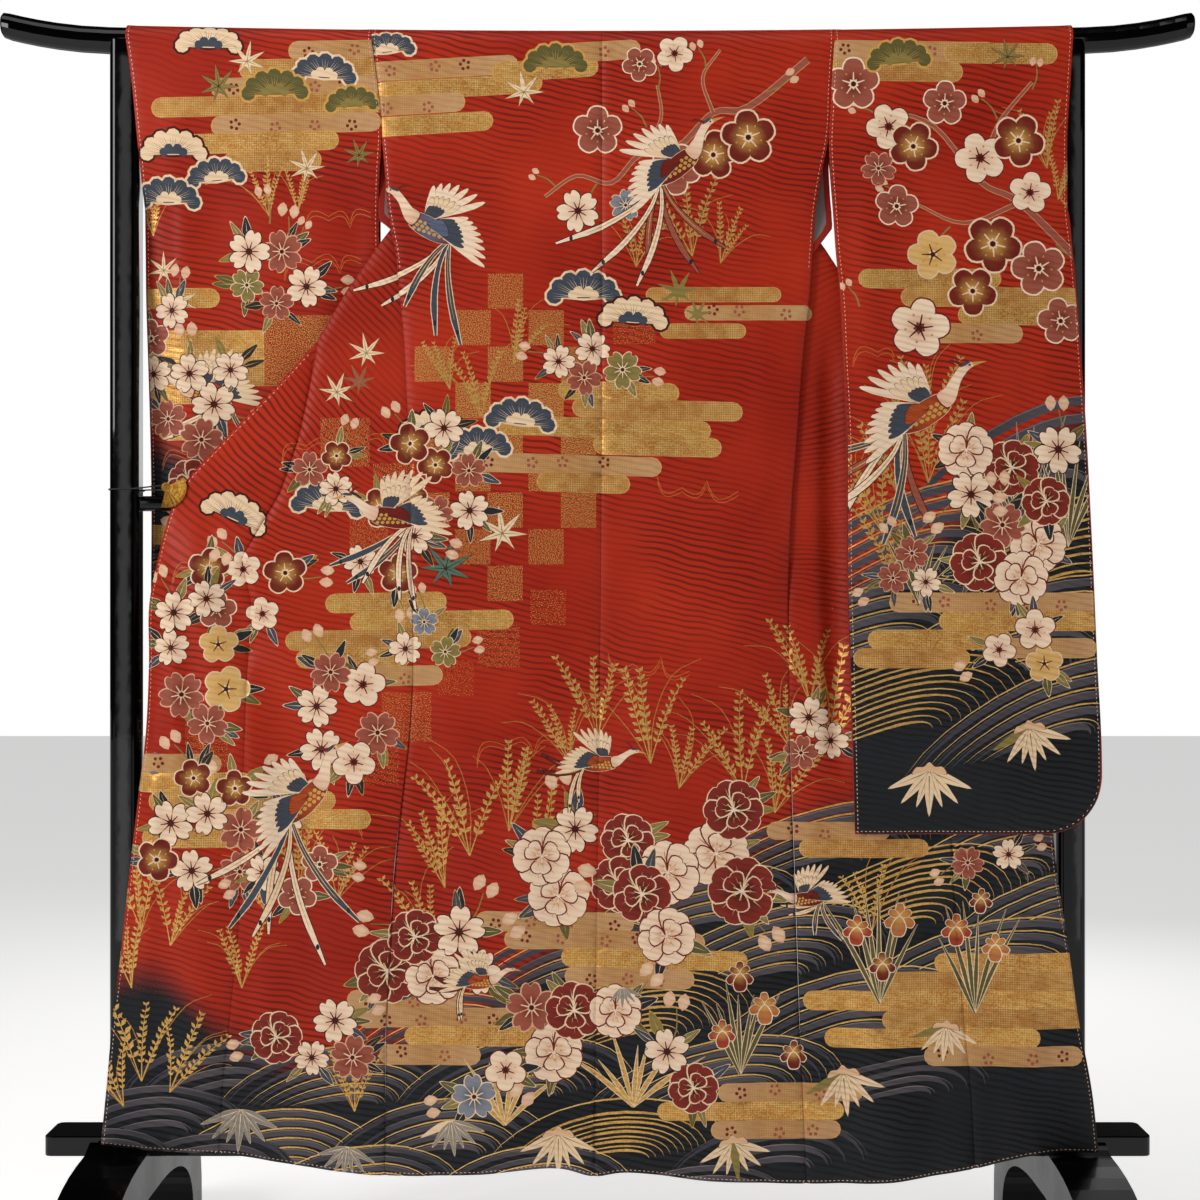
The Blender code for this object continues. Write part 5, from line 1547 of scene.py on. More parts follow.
def cloud_line(out, points, fill="#B8622F", width=0.0011):
    """A thin scalloped line, one arc from each point to the next, with a second line just inside it."""
    for shift in (0.0, 0.006):
        line = []
        for (ax, az), (bx, bz) in zip(points, points[1:]):
            a, b = np.array((ax, az)), np.array((bx, bz))
            across = np.array((-(b - a)[1], (b - a)[0])) * 0.42
            for t in np.linspace(0, 1, 7)[:-1]:
                line.append(a + (b - a) * t + across * math.sin(math.pi * t) * (1 - shift * 12))
        line.append(np.array(points[-1]))
        line = np.array(line) - (0.0, shift)
        out.add(stroke(line, (width, width)), fill)


def branch(out, points, widths, fill=ROSE, rim="#C08A62"):
    line = curve(points, 5)
    out.add(stroke(line, tuple(w + 0.002 for w in widths)), rim)
    out.add(stroke(line, widths), fill)


FILLS = [LEAF, SLATE, OLIVE, MOSS]
LEAVES = 3                   # round each flower of a bunch


def scatter(width, height, count, apart, dice):
    """Places inside an oval that keep some distance from each other."""
    spots = []
    for _ in range(4000):
        if len(spots) == count:
            break
        a, r = dice.uniform(0, 2 * math.pi), math.sqrt(dice.random())
        spot = (0.5 * width * r * math.cos(a), 0.5 * height * r * math.sin(a))
        if all(math.dist(spot, other) > apart for other in spots):
            spots.append(spot)
    return spots


def bunch(out, looks, x, z, width, height, count, size, seed):
    """Flowers of several kinds close together, over their own leaves and buds."""
    looks = looks.split()
    dice = random.Random(seed)
    spots = scatter(width, height, count, 1.75 * size, dice)
    for dx, dz in spots:
        away = math.degrees(math.atan2(dz, dx)) - 90
        for _ in range(LEAVES):
            turn = away + dice.uniform(-75, 75)
            reach = size * dice.uniform(1.0, 1.25)
            shift = 0.62 * size
            leaf(out, x + dx - shift * math.sin(math.radians(turn)),
                 z + dz + shift * math.cos(math.radians(turn)), reach, turn,
                 FILLS[dice.randrange(4)], CREAM if dice.random() < 0.7 else GOLD, dice.uniform(0.9, 1.3))
        if dice.random() < 0.5:
            twig(out, x + dx, z + dz, 2.1 * size, away + dice.uniform(-30, 30))
    for k, (dx, dz) in enumerate(spots):
        look = looks[k % len(looks)]
        own_size = size * dice.uniform(0.86, 1.12)
        turn = dice.uniform(0, 72)
        if look in ("dark_camellia", "light_camellia"):
            camellia(out, x + dx, z + dz, own_size * 1.2, turn, look == "dark_camellia")
        else:
            flower(out, look, x + dx, z + dz, own_size, turn)


# %% [markdown]
# ## Layout of the print
#
# The ground is red above and charcoal below, with a soft dyed border between them that rises to the
# right. On it come, from back to front: water and mist, grasses, branches, flowers in bunches, and the
# birds. The body's panels share one layout, so the print runs on across their seams. Each sleeve has its
# own.

# %% Charcoal border
Border = namedtuple("Border", "x z")
BODY_BORDER = [Border(*row) for row in (
    (-0.72, 0.425), (-0.62, 0.44), (-0.52, 0.36), (-0.42, 0.32),
    (-0.30, 0.335), (-0.20, 0.37), (-0.10, 0.45), (0.0, 0.52),
    (0.10, 0.56), (0.20, 0.60), (0.28, 0.65), (0.40, 0.68), (0.72, 0.62),
)]
SLEEVE_BORDER = [Border(*row) for row in (
    (0.30, 0.96), (0.40, 1.00), (0.50, 1.08), (0.60, 1.17), (0.72, 1.25),
)]
BORDER_BLUR = 0.085


def body_night(u, v):
    edge = read_curve(BODY_BORDER, "x", "z", u)
    return smooth((edge - v) / BORDER_BLUR + 0.5)


def sleeve_night(u, v):
    z = np.where(v > BACK_END, BACK_END + BAR_HEIGHT - v, v)
    edge = read_curve(SLEEVE_BORDER, "x", "z", np.abs(u))
    return smooth((edge - z) / BORDER_BLUR + 0.5)


# %% The body's print
Swell = namedtuple("Swell", "x z width height lean bands kind turn")
IRIS_FILLS = (MAROON, "#9A3A26", "#B06A3A")


def printed(*layers):
    """A print of layers, each a motif with its rows of settings, the first one at the back."""
    out = Print()
    for motif, rows in layers:
        for row in rows:
            motif(out, *row)
    return showing(out.patches)


def numbered(first, rows):
    """Rows with a running number, the seed of each, at their end."""
    return [(*row, first + k) for k, row in enumerate(rows)]


def board():
    """Every second square of a board, without its corners, fainter away from the middle row."""
    return [(-0.235 + 0.052 * column + 0.006 * (row % 2), 1.405 - 0.052 * row, 0.050,
             0.62 - 0.03 * abs(row - 3))
            for column in range(5) for row in range(9)
            if (column + row) % 2 == 0 and (column, row) not in ((0, 0), (4, 8), (0, 8), (4, 0))]


BODY_SWELLS = [Swell(*row) for row in (
    (0.34, 0.590, 0.30, 0.085, 0.30, 7, "grey", 8), (0.58, 0.560, 0.28, 0.100, 0.35, 8, "grey", 10),
    (0.16, 0.500, 0.26, 0.085, 0.25, 7, "grey", 8), (0.45, 0.500, 0.30, 0.110, 0.35, 8, "gold", 10),
    (0.66, 0.470, 0.26, 0.110, 0.30, 8, "grey", 6), (-0.02, 0.425, 0.24, 0.085, 0.2, 7, "grey", 6),
    (0.26, 0.430, 0.30, 0.100, 0.3, 8, "grey", 8), (0.55, 0.400, 0.32, 0.110, 0.3, 8, "grey", 8),
    (-0.20, 0.330, 0.22, 0.080, 0.1, 7, "grey", 4), (0.08, 0.345, 0.28, 0.100, 0.2, 8, "gold", 6),
    (0.38, 0.350, 0.30, 0.095, 0.2, 7, "grey", 6), (-0.50, 0.270, 0.22, 0.075, -0.1, 5, "dim", 0),
    (-0.33, 0.255, 0.26, 0.085, 0.1, 8, "grey", 0), (-0.08, 0.265, 0.26, 0.085, 0.1, 8, "grey", 2),
    (0.20, 0.265, 0.28, 0.085, 0.2, 8, "grey", 4), (-0.60, 0.215, 0.22, 0.070, 0.0, 4, "dim", 0),
    (0.44, 0.265, 0.22, 0.060, 0.2, 5, "dim", 4), (-0.42, 0.165, 0.24, 0.085, 0.0, 8, "grey", 0),
    (-0.19, 0.185, 0.24, 0.080, 0.1, 7, "grey", 0), (0.05, 0.180, 0.26, 0.085, 0.1, 8, "gold", 0),
    (0.27, 0.165, 0.22, 0.070, 0.1, 6, "dim", 0), (-0.52, 0.150, 0.20, 0.070, 0.0, 4, "dim", 0),
    (-0.30, 0.130, 0.22, 0.070, 0.0, 7, "grey", 0), (-0.06, 0.130, 0.22, 0.070, 0.0, 7, "grey", 0),
    (-0.68, 0.165, 0.18, 0.060, 0.0, 5, "dim", 0), (0.17, 0.115, 0.20, 0.060, 0.0, 6, "dim", 0))]


def body_print():
    return printed(
        # Scattered gold squares, like a board that comes apart
        (dust_square, board()),
        (dust_square, [
            (-0.36, 1.19, 0.07, 0.4), (-0.325, 1.06, 0.055, 0.35), (-0.29, 1.13, 0.06, 0.35),
            (-0.14, 0.90, 0.06, 0.3), (-0.20, 0.855, 0.05, 0.25), (-0.07, 0.955, 0.05, 0.3),
            (0.052, 1.36, 0.06, 0.3), (-0.36, 0.88, 0.06, 0.4), (-0.27, 0.80, 0.07, 0.35),
            (-0.31, 0.735, 0.06, 0.25), (-0.55, 0.76, 0.06, 0.3)]),
        # Thin clouds, water and mist
        (cloud_line, [
            ([(-0.60, 0.995), (-0.565, 1.012), (-0.535, 1.0), (-0.50, 1.02), (-0.475, 1.005)],),
            ([(-0.64, 0.93), (-0.60, 0.955), (-0.565, 0.945), (-0.54, 0.96)],),
            ([(-0.45, 1.16), (-0.415, 1.185), (-0.375, 1.175), (-0.335, 1.195), (-0.30, 1.18)],),
            ([(0.20, 1.12), (0.155, 1.135), (0.12, 1.125), (0.085, 1.14)],),
            ([(-0.17, 0.735), (-0.13, 0.76), (-0.09, 0.75), (-0.05, 0.765), (-0.01, 0.75)],),
            ([(0.13, 0.865), (0.09, 0.885), (0.05, 0.875), (0.015, 0.89)],),
            ([(-0.50, 0.62), (-0.455, 0.64), (-0.41, 0.63), (-0.37, 0.65), (-0.33, 0.635)],)]),
        (water, [(BODY_SWELLS,)]),
        (mist, [
            ([(-0.245, 1.722, 0.26, "tan"), (-0.20, 1.696, 0.24, "gold"), (-0.29, 1.670, 0.20, "tan"),
              (-0.235, 1.644, 0.17, "gold"), (-0.075, 1.722, 0.15, "gold"),
              (-0.005, 1.748, 0.13, "tan")], 0.026, 0.06, 1),
            ([(0.165, 1.400, 0.19, "ochre"), (0.215, 1.374, 0.18, "tan"),
              (0.150, 1.348, 0.12, "ochre")], 0.020, 0.0, 2),
            ([(0.030, 1.262, 0.17, "gold"), (0.085, 1.236, 0.24, "ochre"),
              (0.010, 1.210, 0.30, "gold"), (0.085, 1.184, 0.18, "gold"), (-0.045, 1.158, 0.27, "tan"),
              (-0.020, 1.132, 0.13, "ochre")], 0.026, -0.03, 3),
            ([(-0.300, 0.962, 0.17, "gold"), (-0.235, 0.936, 0.23, "gold"),
              (-0.310, 0.910, 0.26, "ochre"), (-0.345, 0.884, 0.16, "gold"),
              (-0.285, 0.858, 0.13, "tan")], 0.026, 0.02, 4),
            ([(-0.590, 0.735, 0.12, "tan"), (-0.570, 0.709, 0.17, "gold"),
              (-0.500, 0.683, 0.26, "ochre"), (-0.440, 0.657, 0.24, "gold"),
              (-0.560, 0.631, 0.16, "gold")], 0.026, 0.0, 5),
            ([(0.325, 0.640, 0.17, "tan"), (0.375, 0.616, 0.18, "ochre")], 0.024, 0.0, 6),
            ([(-0.060, 0.512, 0.22, "tan"), (0.010, 0.486, 0.28, "tan"), (0.080, 0.460, 0.26, "gold"),
              (0.045, 0.434, 0.18, "tan")], 0.026, -0.02, 7),
            ([(0.585, 0.455, 0.22, "gold"), (0.530, 0.429, 0.30, "ochre"),
              (0.500, 0.403, 0.42, "gold"), (0.560, 0.377, 0.32, "ochre"),
              (0.470, 0.351, 0.30, "gold"), (0.570, 0.325, 0.22, "tan")], 0.026, 0.0, 8),
            ([(-0.270, 0.405, 0.16, "tan"), (-0.205, 0.379, 0.26, "tan"),
              (-0.150, 0.353, 0.24, "gold"), (-0.235, 0.327, 0.14, "tan")], 0.026, 0.0, 9),
            ([(0.270, 0.275, 0.20, "tan"), (0.215, 0.249, 0.26, "gold"),
              (0.250, 0.223, 0.18, "tan")], 0.024, 0.0, 10)]),
        (grass, numbered(20, [
            (-0.165, 1.225, 0.12, 8), (-0.120, 1.300, 0.10, -14), (0.135, 1.455, 0.12, 6),
            (0.175, 1.445, 0.09, -16), (0.055, 1.440, 0.09, -8), (-0.210, 1.265, 0.08, 16),
            (-0.180, 0.605, 0.16, 6), (-0.215, 0.560, 0.13, 18), (-0.125, 0.640, 0.15, -8),
            (-0.090, 0.580, 0.14, -18), (-0.235, 0.470, 0.13, 10), (0.000, 0.770, 0.13, 4),
            (-0.040, 0.735, 0.11, 16), (0.075, 0.735, 0.15, 6), (0.115, 0.700, 0.12, -16),
            (0.205, 0.695, 0.15, 8), (0.250, 0.665, 0.13, -14), (0.300, 0.820, 0.13, 6),
            (0.325, 0.750, 0.16, -8), (0.270, 0.760, 0.12, 16), (-0.420, 0.560, 0.12, 6),
            (-0.460, 0.520, 0.11, 16), (-0.365, 0.545, 0.11, -12), (-0.640, 0.500, 0.14, 6),
            (-0.600, 0.480, 0.12, -12), (-0.655, 0.420, 0.12, 12), (-0.640, 0.290, 0.15, 4),
            (-0.600, 0.275, 0.13, -20), (-0.665, 0.255, 0.12, 22), (-0.500, 0.420, 0.11, 4),
            (0.385, 0.500, 0.12, 6), (-0.340, 0.250, 0.10, 4)])),
        (blades, [
            (0.200, 0.300, 0.17, 7, 31, MOSS), (0.395, 0.400, 0.17, 7, 32, MOSS),
            (0.530, 0.385, 0.16, 6, 33, MOSS), (0.050, 0.255, 0.13, 7, 34, GOLD, LEAF_FOIL, 55),
            (-0.130, 0.230, 0.12, 6, 35, GOLD, LEAF_FOIL, 50)]),
        # Plum boughs
        (branch, [
            ([(-0.075, 1.540), (-0.030, 1.570), (0.020, 1.560), (0.060, 1.600), (0.115, 1.612),
              (0.165, 1.660), (0.215, 1.668), (0.300, 1.735)], (0.003, 0.009)),
            ([(0.060, 1.600), (0.090, 1.650), (0.085, 1.700)], (0.004, 0.002)),
            ([(0.165, 1.660), (0.150, 1.710), (0.175, 1.750)], (0.004, 0.002))]),
        (twig, [(x, z, 0.034 + 0.004 * (k % 3), turn) for k, (x, z, turn) in enumerate([
            (-0.060, 1.555, 60), (0.070, 1.640, 40), (0.085, 1.690, 0), (0.135, 1.615, -100),
            (0.155, 1.720, 20), (0.240, 1.690, -60), (0.000, 1.560, 160)])]),
        (flower, [(look, x, z, size, 17 * x / 0.01) for look, x, z, size in [
            ("dusty_plum", 0.000, 1.635, 0.034), ("dusty_plum", 0.110, 1.580, 0.036),
            ("maroon_plum", 0.165, 1.600, 0.034), ("cream_cherry", -0.028, 1.520, 0.030),
            ("cream_plum", 0.110, 1.745, 0.026), ("maroon_plum", 0.215, 1.625, 0.038),
            ("dusty_plum", 0.060, 1.730, 0.024), ("slate_cherry", 0.040, 1.528, 0.022)]]),
        # Pines, maples and flowers
        (pine, [
            (-0.020, 1.395, 0.055, 0), (0.050, 1.360, 0.052, -4, CREAM, SLATE, BROWN),
            (-0.170, 1.175, 0.050, 4), (-0.110, 1.215, 0.052, -6, SLATE, CREAM, CREAM),
            (-0.240, 1.200, 0.048, 6, CREAM, SLATE, BROWN), (-0.385, 1.095, 0.055, -6),
            (-0.520, 1.080, 0.052, -24, CREAM, SLATE, BROWN),
            (-0.060, 1.725, 0.048, 0, MOSS, OLIVE, GOLD), (-0.300, 1.745, 0.042, 6, SLATE, CREAM, CREAM)]),
        (maple, [(x, z, size, turn, fill, BROWN if fill == "#50705F" else OLIVE)
                 for x, z, size, turn, fill in [
            (-0.105, 1.690, 0.030, 10, CREAM), (0.115, 1.405, 0.030, 20, OLIVE),
            (-0.135, 1.060, 0.038, 8, CREAM), (-0.215, 1.010, 0.040, -12, "#50705F"),
            (-0.330, 1.318, 0.028, 10, CREAM), (-0.372, 1.262, 0.028, -20, CREAM),
            (-0.340, 1.277, 0.024, 25, ROSE), (0.142, 1.372, 0.022, -30, OLIVE)]]),
        (bunch, [
            ("cream_cherry rose_cherry olive_cherry", -0.010, 1.290, 0.10, 0.09, 4, 0.024, 3),
            ("maroon_plum cream_cherry rose_cherry", -0.232, 1.130, 0.13, 0.17, 7, 0.026, 4),
            ("cream_cherry maroon_plum", -0.300, 1.050, 0.12, 0.10, 4, 0.027, 5),
            ("cream_cherry rose_cherry maroon_plum olive_cherry", -0.385, 1.150, 0.10, 0.06, 3, 0.024, 6),
            ("cream_plum maroon_plum dusty_plum", -0.490, 0.990, 0.14, 0.11, 6, 0.027, 7),
            ("cream_cherry gold_plum rose_cherry", -0.560, 0.880, 0.12, 0.18, 8, 0.028, 8),
            ("cream_cherry maroon_plum rose_cherry", -0.555, 0.640, 0.15, 0.17, 8, 0.029, 9),
            ("cream_cherry dusty_plum", -0.440, 0.600, 0.10, 0.12, 4, 0.026, 10),
            ("cream_cherry rose_cherry cream_plum", -0.350, 0.800, 0.13, 0.14, 6, 0.028, 11),
            ("cream_cherry olive_cherry slate_cherry", -0.240, 0.890, 0.08, 0.10, 3, 0.022, 12),
            ("cream_cherry rose_cherry", 0.300, 0.775, 0.07, 0.06, 3, 0.026, 13),
            ("dark_camellia light_camellia cream_cherry", -0.010, 0.595, 0.16, 0.12, 5, 0.034, 14),
            ("light_camellia dark_camellia", 0.160, 0.610, 0.14, 0.14, 4, 0.036, 15),
            ("dark_camellia light_camellia cream_cherry", 0.085, 0.530, 0.10, 0.08, 2, 0.038, 16),
            ("dark_camellia cream_cherry light_camellia", -0.215, 0.450, 0.18, 0.10, 5, 0.034, 17),
            ("cream_cherry dark_camellia rose_cherry", -0.395, 0.350, 0.16, 0.07, 4, 0.028, 18),
            ("light_camellia rose_cherry dark_camellia", -0.030, 0.365, 0.16, 0.09, 4, 0.033, 19),
            ("dark_camellia cream_cherry", 0.100, 0.300, 0.10, 0.08, 2, 0.033, 20),
            ("cream_plum slate_cherry", -0.150, 0.285, 0.10, 0.06, 2, 0.028, 21),
            ("cream_cherry rose_cherry", 0.560, 0.610, 0.10, 0.05, 2, 0.022, 22)]),
        (iris, [(x, z, size, 40 + k, IRIS_FILLS[k % 3]) for k, (x, z, size) in enumerate([
            (0.200, 0.440, 0.034), (0.175, 0.360, 0.032), (0.235, 0.395, 0.036), (0.275, 0.330, 0.032),
            (0.365, 0.505, 0.034), (0.425, 0.520, 0.038), (0.400, 0.455, 0.032), (0.505, 0.505, 0.036),
            (0.560, 0.480, 0.032), (0.540, 0.545, 0.028)])]),
        (bamboo, [(x, z, size, turn, CREAM if snow else "#8A8378", OLIVE if snow else CREAM, snow)
                  for x, z, size, turn, snow in [
            (0.345, 0.300, 0.062, 6, True), (0.490, 0.365, 0.052, -6, True),
            (-0.055, 0.215, 0.060, 0, True), (0.190, 0.205, 0.056, 8, True),
            (-0.500, 0.250, 0.060, -4, False), (-0.205, 0.235, 0.050, 6, False),
            (-0.350, 0.200, 0.045, -8, False), (0.035, 0.420, 0.030, 0, False)]]),
        # Birds
        (bird, [
            (-0.245, 1.500, 0.090, -12, -1.0, "#56637A", IVORY, (SLATE, IVORY), 5, 18, 1.7, 1),
            (0.120, 1.590, 0.090, 22, 1.0, MAROON, IVORY, (IVORY, ROSE), 6, -30, 1.8, 2),
            (-0.300, 1.085, 0.085, 8, -1.0, MAROON, CREAM, (IVORY, SLATE), 5, 46, 1.6, 3),
            (-0.405, 0.690, 0.095, 30, 1.0, ORANGE, IVORY, (IVORY, CREAM, SLATE), 6, -42, 2.2, 4),
            (0.010, 0.735, 0.062, -12, 1.0, ORANGE, CREAM, (MAROON, CREAM), 4, -40, 0.9, 5),
            (0.290, 0.545, 0.058, 20, -1.0, MAROON, CREAM, (SLATE, CREAM), 4, 50, 0.9, 6),
            (-0.160, 0.430, 0.056, -10, 1.0, ORANGE, CREAM, (MAROON, CREAM), 4, -40, 0.9, 7)]),
    )


# %% The sleeves' prints
REAR_SLACK = 0.0020          # the rear's outlines are simplified by up to this much
REAR_LEAST = 0.015           # and those smaller than this are left off


def mirrored_rear(patches):
    """The same print on the rear layer, which hangs down behind the bar, without its finest lines."""
    made = []
    for patch in patches:
        if patch.fine or np.ptp(patch.points, axis=0).max() < REAR_LEAST:
            continue
        points = thinned(patch.points, REAR_SLACK) * (1.0, -1.0) + (0.0, BACK_END + BAR_HEIGHT)
        centre = (patch.centre[0], BACK_END + BAR_HEIGHT - patch.centre[1])
        made.append(patch._replace(points=points[::-1], centre=centre))
    return made


RIGHT_SWELLS = [Swell(*row) for row in (
    (0.640, 1.090, 0.34, 0.150, 0.35, 8, "dim", 16), (0.450, 0.990, 0.36, 0.125, 0.4, 8, "grey", 14),
    (0.660, 0.955, 0.34, 0.145, 0.4, 8, "gold", 12), (0.400, 0.880, 0.30, 0.105, 0.3, 7, "grey", 10),
    (0.600, 0.850, 0.38, 0.130, 0.4, 8, "grey", 12), (0.440, 0.775, 0.34, 0.110, 0.3, 8, "gold", 10),
    (0.660, 0.765, 0.30, 0.105, 0.4, 7, "grey", 12))]


def right_sleeve_print():
    return printed(
        # Thin clouds, water and mist
        (cloud_line, [
            ([(0.36, 1.30), (0.395, 1.315), (0.42, 1.305), (0.46, 1.32)],)]),
        (water, [(RIGHT_SWELLS,)]),
        (mist, [
            ([(0.45, 1.745, 0.24, "tan"), (0.42, 1.718, 0.20, "ochre"),
              (0.575, 1.740, 0.16, "gold")], 0.027, -0.03, 21),
            ([(0.470, 1.420, 0.20, "gold"), (0.560, 1.394, 0.26, "ochre"),
              (0.600, 1.368, 0.18, "gold"), (0.520, 1.342, 0.16, "tan")], 0.026, 0.0, 22),
            ([(0.560, 0.962, 0.30, "tan"), (0.600, 0.936, 0.24, "gold"), (0.480, 0.910, 0.20, "gold"),
              (0.440, 0.884, 0.16, "ochre"), (0.620, 0.898, 0.16, "tan")], 0.026, 0.0, 23)]),
        (grass, numbered(60, [
            (0.430, 1.100, 0.17, 10), (0.400, 1.060, 0.14, 22), (0.465, 1.130, 0.15, -8),
            (0.470, 1.200, 0.12, 2), (0.640, 1.580, 0.10, 4), (0.655, 1.535, 0.08, -12),
            (0.690, 1.485, 0.08, 4), (0.420, 0.990, 0.12, 6)])),
        (blades, [
            (0.600, 1.035, 0.20, 8, 71, SLATE), (0.660, 1.040, 0.18, 7, 72, MOSS),
            (0.450, 0.960, 0.11, 6, 73, MOSS)]),
        # Plum boughs
        (branch, [
            ([(0.690, 1.440), (0.600, 1.530), (0.545, 1.560), (0.480, 1.640),
              (0.405, 1.665)], (0.010, 0.003)),
            ([(0.600, 1.530), (0.520, 1.500), (0.450, 1.530)], (0.006, 0.002)),
            ([(0.545, 1.560), (0.570, 1.640), (0.620, 1.700)], (0.006, 0.003))]),
        (twig, [(x, z, 0.036 + 0.004 * (k % 3), turn) for k, (x, z, turn) in enumerate([
            (0.400, 1.655, 70), (0.440, 1.535, 60), (0.500, 1.495, 150), (0.620, 1.690, -10),
            (0.570, 1.650, 40), (0.650, 1.470, -120), (0.370, 1.380, 30)])]),
        (flower, [(look, x, z, size, 23 * k) for k, (look, x, z, size) in enumerate([
            ("dusty_plum", 0.365, 1.700, 0.036), ("cream_plum", 0.415, 1.640, 0.032),
            ("maroon_plum", 0.450, 1.612, 0.034), ("dusty_plum", 0.495, 1.672, 0.030),
            ("cream_plum", 0.545, 1.595, 0.036), ("maroon_plum", 0.600, 1.620, 0.036),
            ("dusty_plum", 0.425, 1.525, 0.030), ("gold_plum", 0.475, 1.455, 0.034),
            ("maroon_plum", 0.560, 1.470, 0.040), ("cream_plum", 0.615, 1.545, 0.030),
            ("dusty_plum", 0.625, 1.435, 0.038), ("maroon_plum", 0.530, 1.402, 0.034),
            ("cream_plum", 0.455, 1.350, 0.042), ("dusty_plum", 0.655, 1.360, 0.032),
            ("rose_cherry", 0.400, 1.580, 0.024)])]),
        # Pines, maples and flowers
        (pine, [
            (0.430, 1.728, 0.048, 4, MOSS, OLIVE, GOLD)]),
        (maple, [
            (0.585, 1.735, 0.026, 12, OLIVE, BROWN)]),
        # Birds, bunches of flowers and bamboo
        (bird, [
            (0.470, 1.235, 0.105, 16, 1.0, ORANGE, IVORY, (SLATE, IVORY, ROSE), 7, -44, 1.6, 8)]),
        (bunch, [
            ("dark_camellia light_camellia cream_cherry", 0.560, 1.150, 0.13, 0.10, 4, 0.030, 31),
            ("light_camellia rose_cherry dark_camellia", 0.590, 1.035, 0.14, 0.08, 4, 0.030, 32),
            ("rose_cherry cream_cherry", 0.450, 1.010, 0.10, 0.08, 3, 0.024, 33),
            ("cream_plum gold_plum", 0.600, 0.900, 0.10, 0.06, 3, 0.027, 34),
            ("dark_camellia cream_cherry", 0.655, 1.120, 0.06, 0.12, 2, 0.030, 35)]),
        (bamboo, [
            (0.465, 0.725, 0.066, 0), (0.605, 0.785, 0.062, 8)]),
    )


LEFT_SWELLS = [Swell(*row) for row in (
    (-0.62, 0.960, 0.22, 0.090, 0.2, 8, "grey", 0), (-0.45, 0.930, 0.26, 0.100, 0.2, 8, "gold", 0),
    (-0.57, 0.860, 0.26, 0.095, 0.2, 8, "grey", 0), (-0.38, 0.830, 0.22, 0.090, 0.2, 8, "grey", 0),
    (-0.50, 0.760, 0.26, 0.090, 0.2, 8, "gold", 0), (-0.63, 0.740, 0.20, 0.080, 0.2, 7, "grey", 0),
    (-0.40, 0.690, 0.22, 0.070, 0.2, 6, "dim", 0))]


def left_sleeve_print():
    return printed(
        # Thin clouds, water and mist
        (cloud_line, [
            ([(-0.42, 1.50), (-0.385, 1.515), (-0.355, 1.505), (-0.325, 1.52)],),
            ([(-0.45, 1.43), (-0.41, 1.45), (-0.37, 1.44), (-0.34, 1.455)],),
            ([(-0.63, 1.16), (-0.595, 1.175), (-0.56, 1.165), (-0.52, 1.18)],)]),
        (water, [(LEFT_SWELLS,)]),
        (mist, [
            ([(-0.360, 1.748, 0.16, "tan"), (-0.390, 1.722, 0.24, "ochre"),
              (-0.420, 1.696, 0.26, "tan"), (-0.455, 1.670, 0.36, "ochre"),
              (-0.430, 1.644, 0.24, "tan"), (-0.490, 1.618, 0.24, "gold"),
              (-0.465, 1.592, 0.14, "ochre")], 0.026, 0.03, 41),
            ([(-0.605, 1.400, 0.12, "gold"), (-0.570, 1.340, 0.20, "gold"),
              (-0.520, 1.314, 0.26, "gold"), (-0.545, 1.288, 0.24, "ochre"),
              (-0.600, 1.262, 0.14, "gold"), (-0.585, 1.210, 0.10, "gold"),
              (-0.610, 1.060, 0.12, "gold")], 0.026, 0.0, 42)]),
        # Gold squares and grasses
        (dust_square, [
            (-0.43, 1.325, 0.10, 0.5), (-0.40, 1.245, 0.07, 0.35)]),
        (grass, numbered(80, [
            (-0.470, 1.515, 0.09, 8), (-0.430, 1.520, 0.08, -10), (-0.640, 1.490, 0.08, 0),
            (-0.600, 0.990, 0.12, 4), (-0.380, 0.980, 0.12, -6)])),
        # Pines, maples and flowers
        (pine, [
            (-0.555, 1.748, 0.050, 0, CREAM, SLATE, BROWN), (-0.390, 1.708, 0.048, -4),
            (-0.460, 1.684, 0.050, 2, MOSS, OLIVE, GOLD), (-0.350, 1.668, 0.040, 4, MOSS, OLIVE, GOLD),
            (-0.605, 1.600, 0.050, 0, CREAM, SLATE, BROWN),
            (-0.545, 1.565, 0.044, 6, SLATE, CREAM, CREAM),
            (-0.615, 1.535, 0.048, -4, SLATE, CREAM, CREAM)]),
        (maple, [(x, z, size, turn, fill, BROWN if fill == OLIVE else OLIVE) for x, z, size, turn, fill in [
            (-0.540, 1.695, 0.030, 10, OLIVE), (-0.500, 1.730, 0.028, -10, CREAM),
            (-0.415, 1.582, 0.028, 16, CREAM), (-0.625, 1.440, 0.026, 0, CREAM),
            (-0.600, 1.395, 0.026, -14, CREAM), (-0.340, 1.600, 0.024, 20, OLIVE)]]),
        (twig, [
            (-0.470, 1.505, 0.045, 10), (-0.440, 1.470, 0.040, -30)]),
        # Birds, bunches of flowers and bamboo
        (bird, [
            (-0.570, 1.265, 0.080, 12, -1.0, ORANGE, CREAM, (SLATE, IVORY), 6, 30, 1.6, 9)]),
        (bunch, [
            ("rose_cherry cream_cherry olive_cherry", -0.455, 1.430, 0.13, 0.10, 5, 0.027, 51),
            ("cream_cherry rose_cherry", -0.570, 1.250, 0.14, 0.12, 5, 0.029, 52),
            ("cream_cherry dusty_plum", -0.625, 1.330, 0.05, 0.12, 3, 0.026, 53),
            ("dark_camellia cream_cherry", -0.600, 1.140, 0.08, 0.07, 2, 0.032, 54),
            ("dark_camellia light_camellia cream_cherry", -0.480, 1.060, 0.16, 0.12, 5, 0.032, 55),
            ("cream_cherry rose_cherry", -0.430, 0.860, 0.14, 0.08, 3, 0.028, 56)]),
        (bamboo, [
            (-0.560, 0.790, 0.060, 0)]),
    )


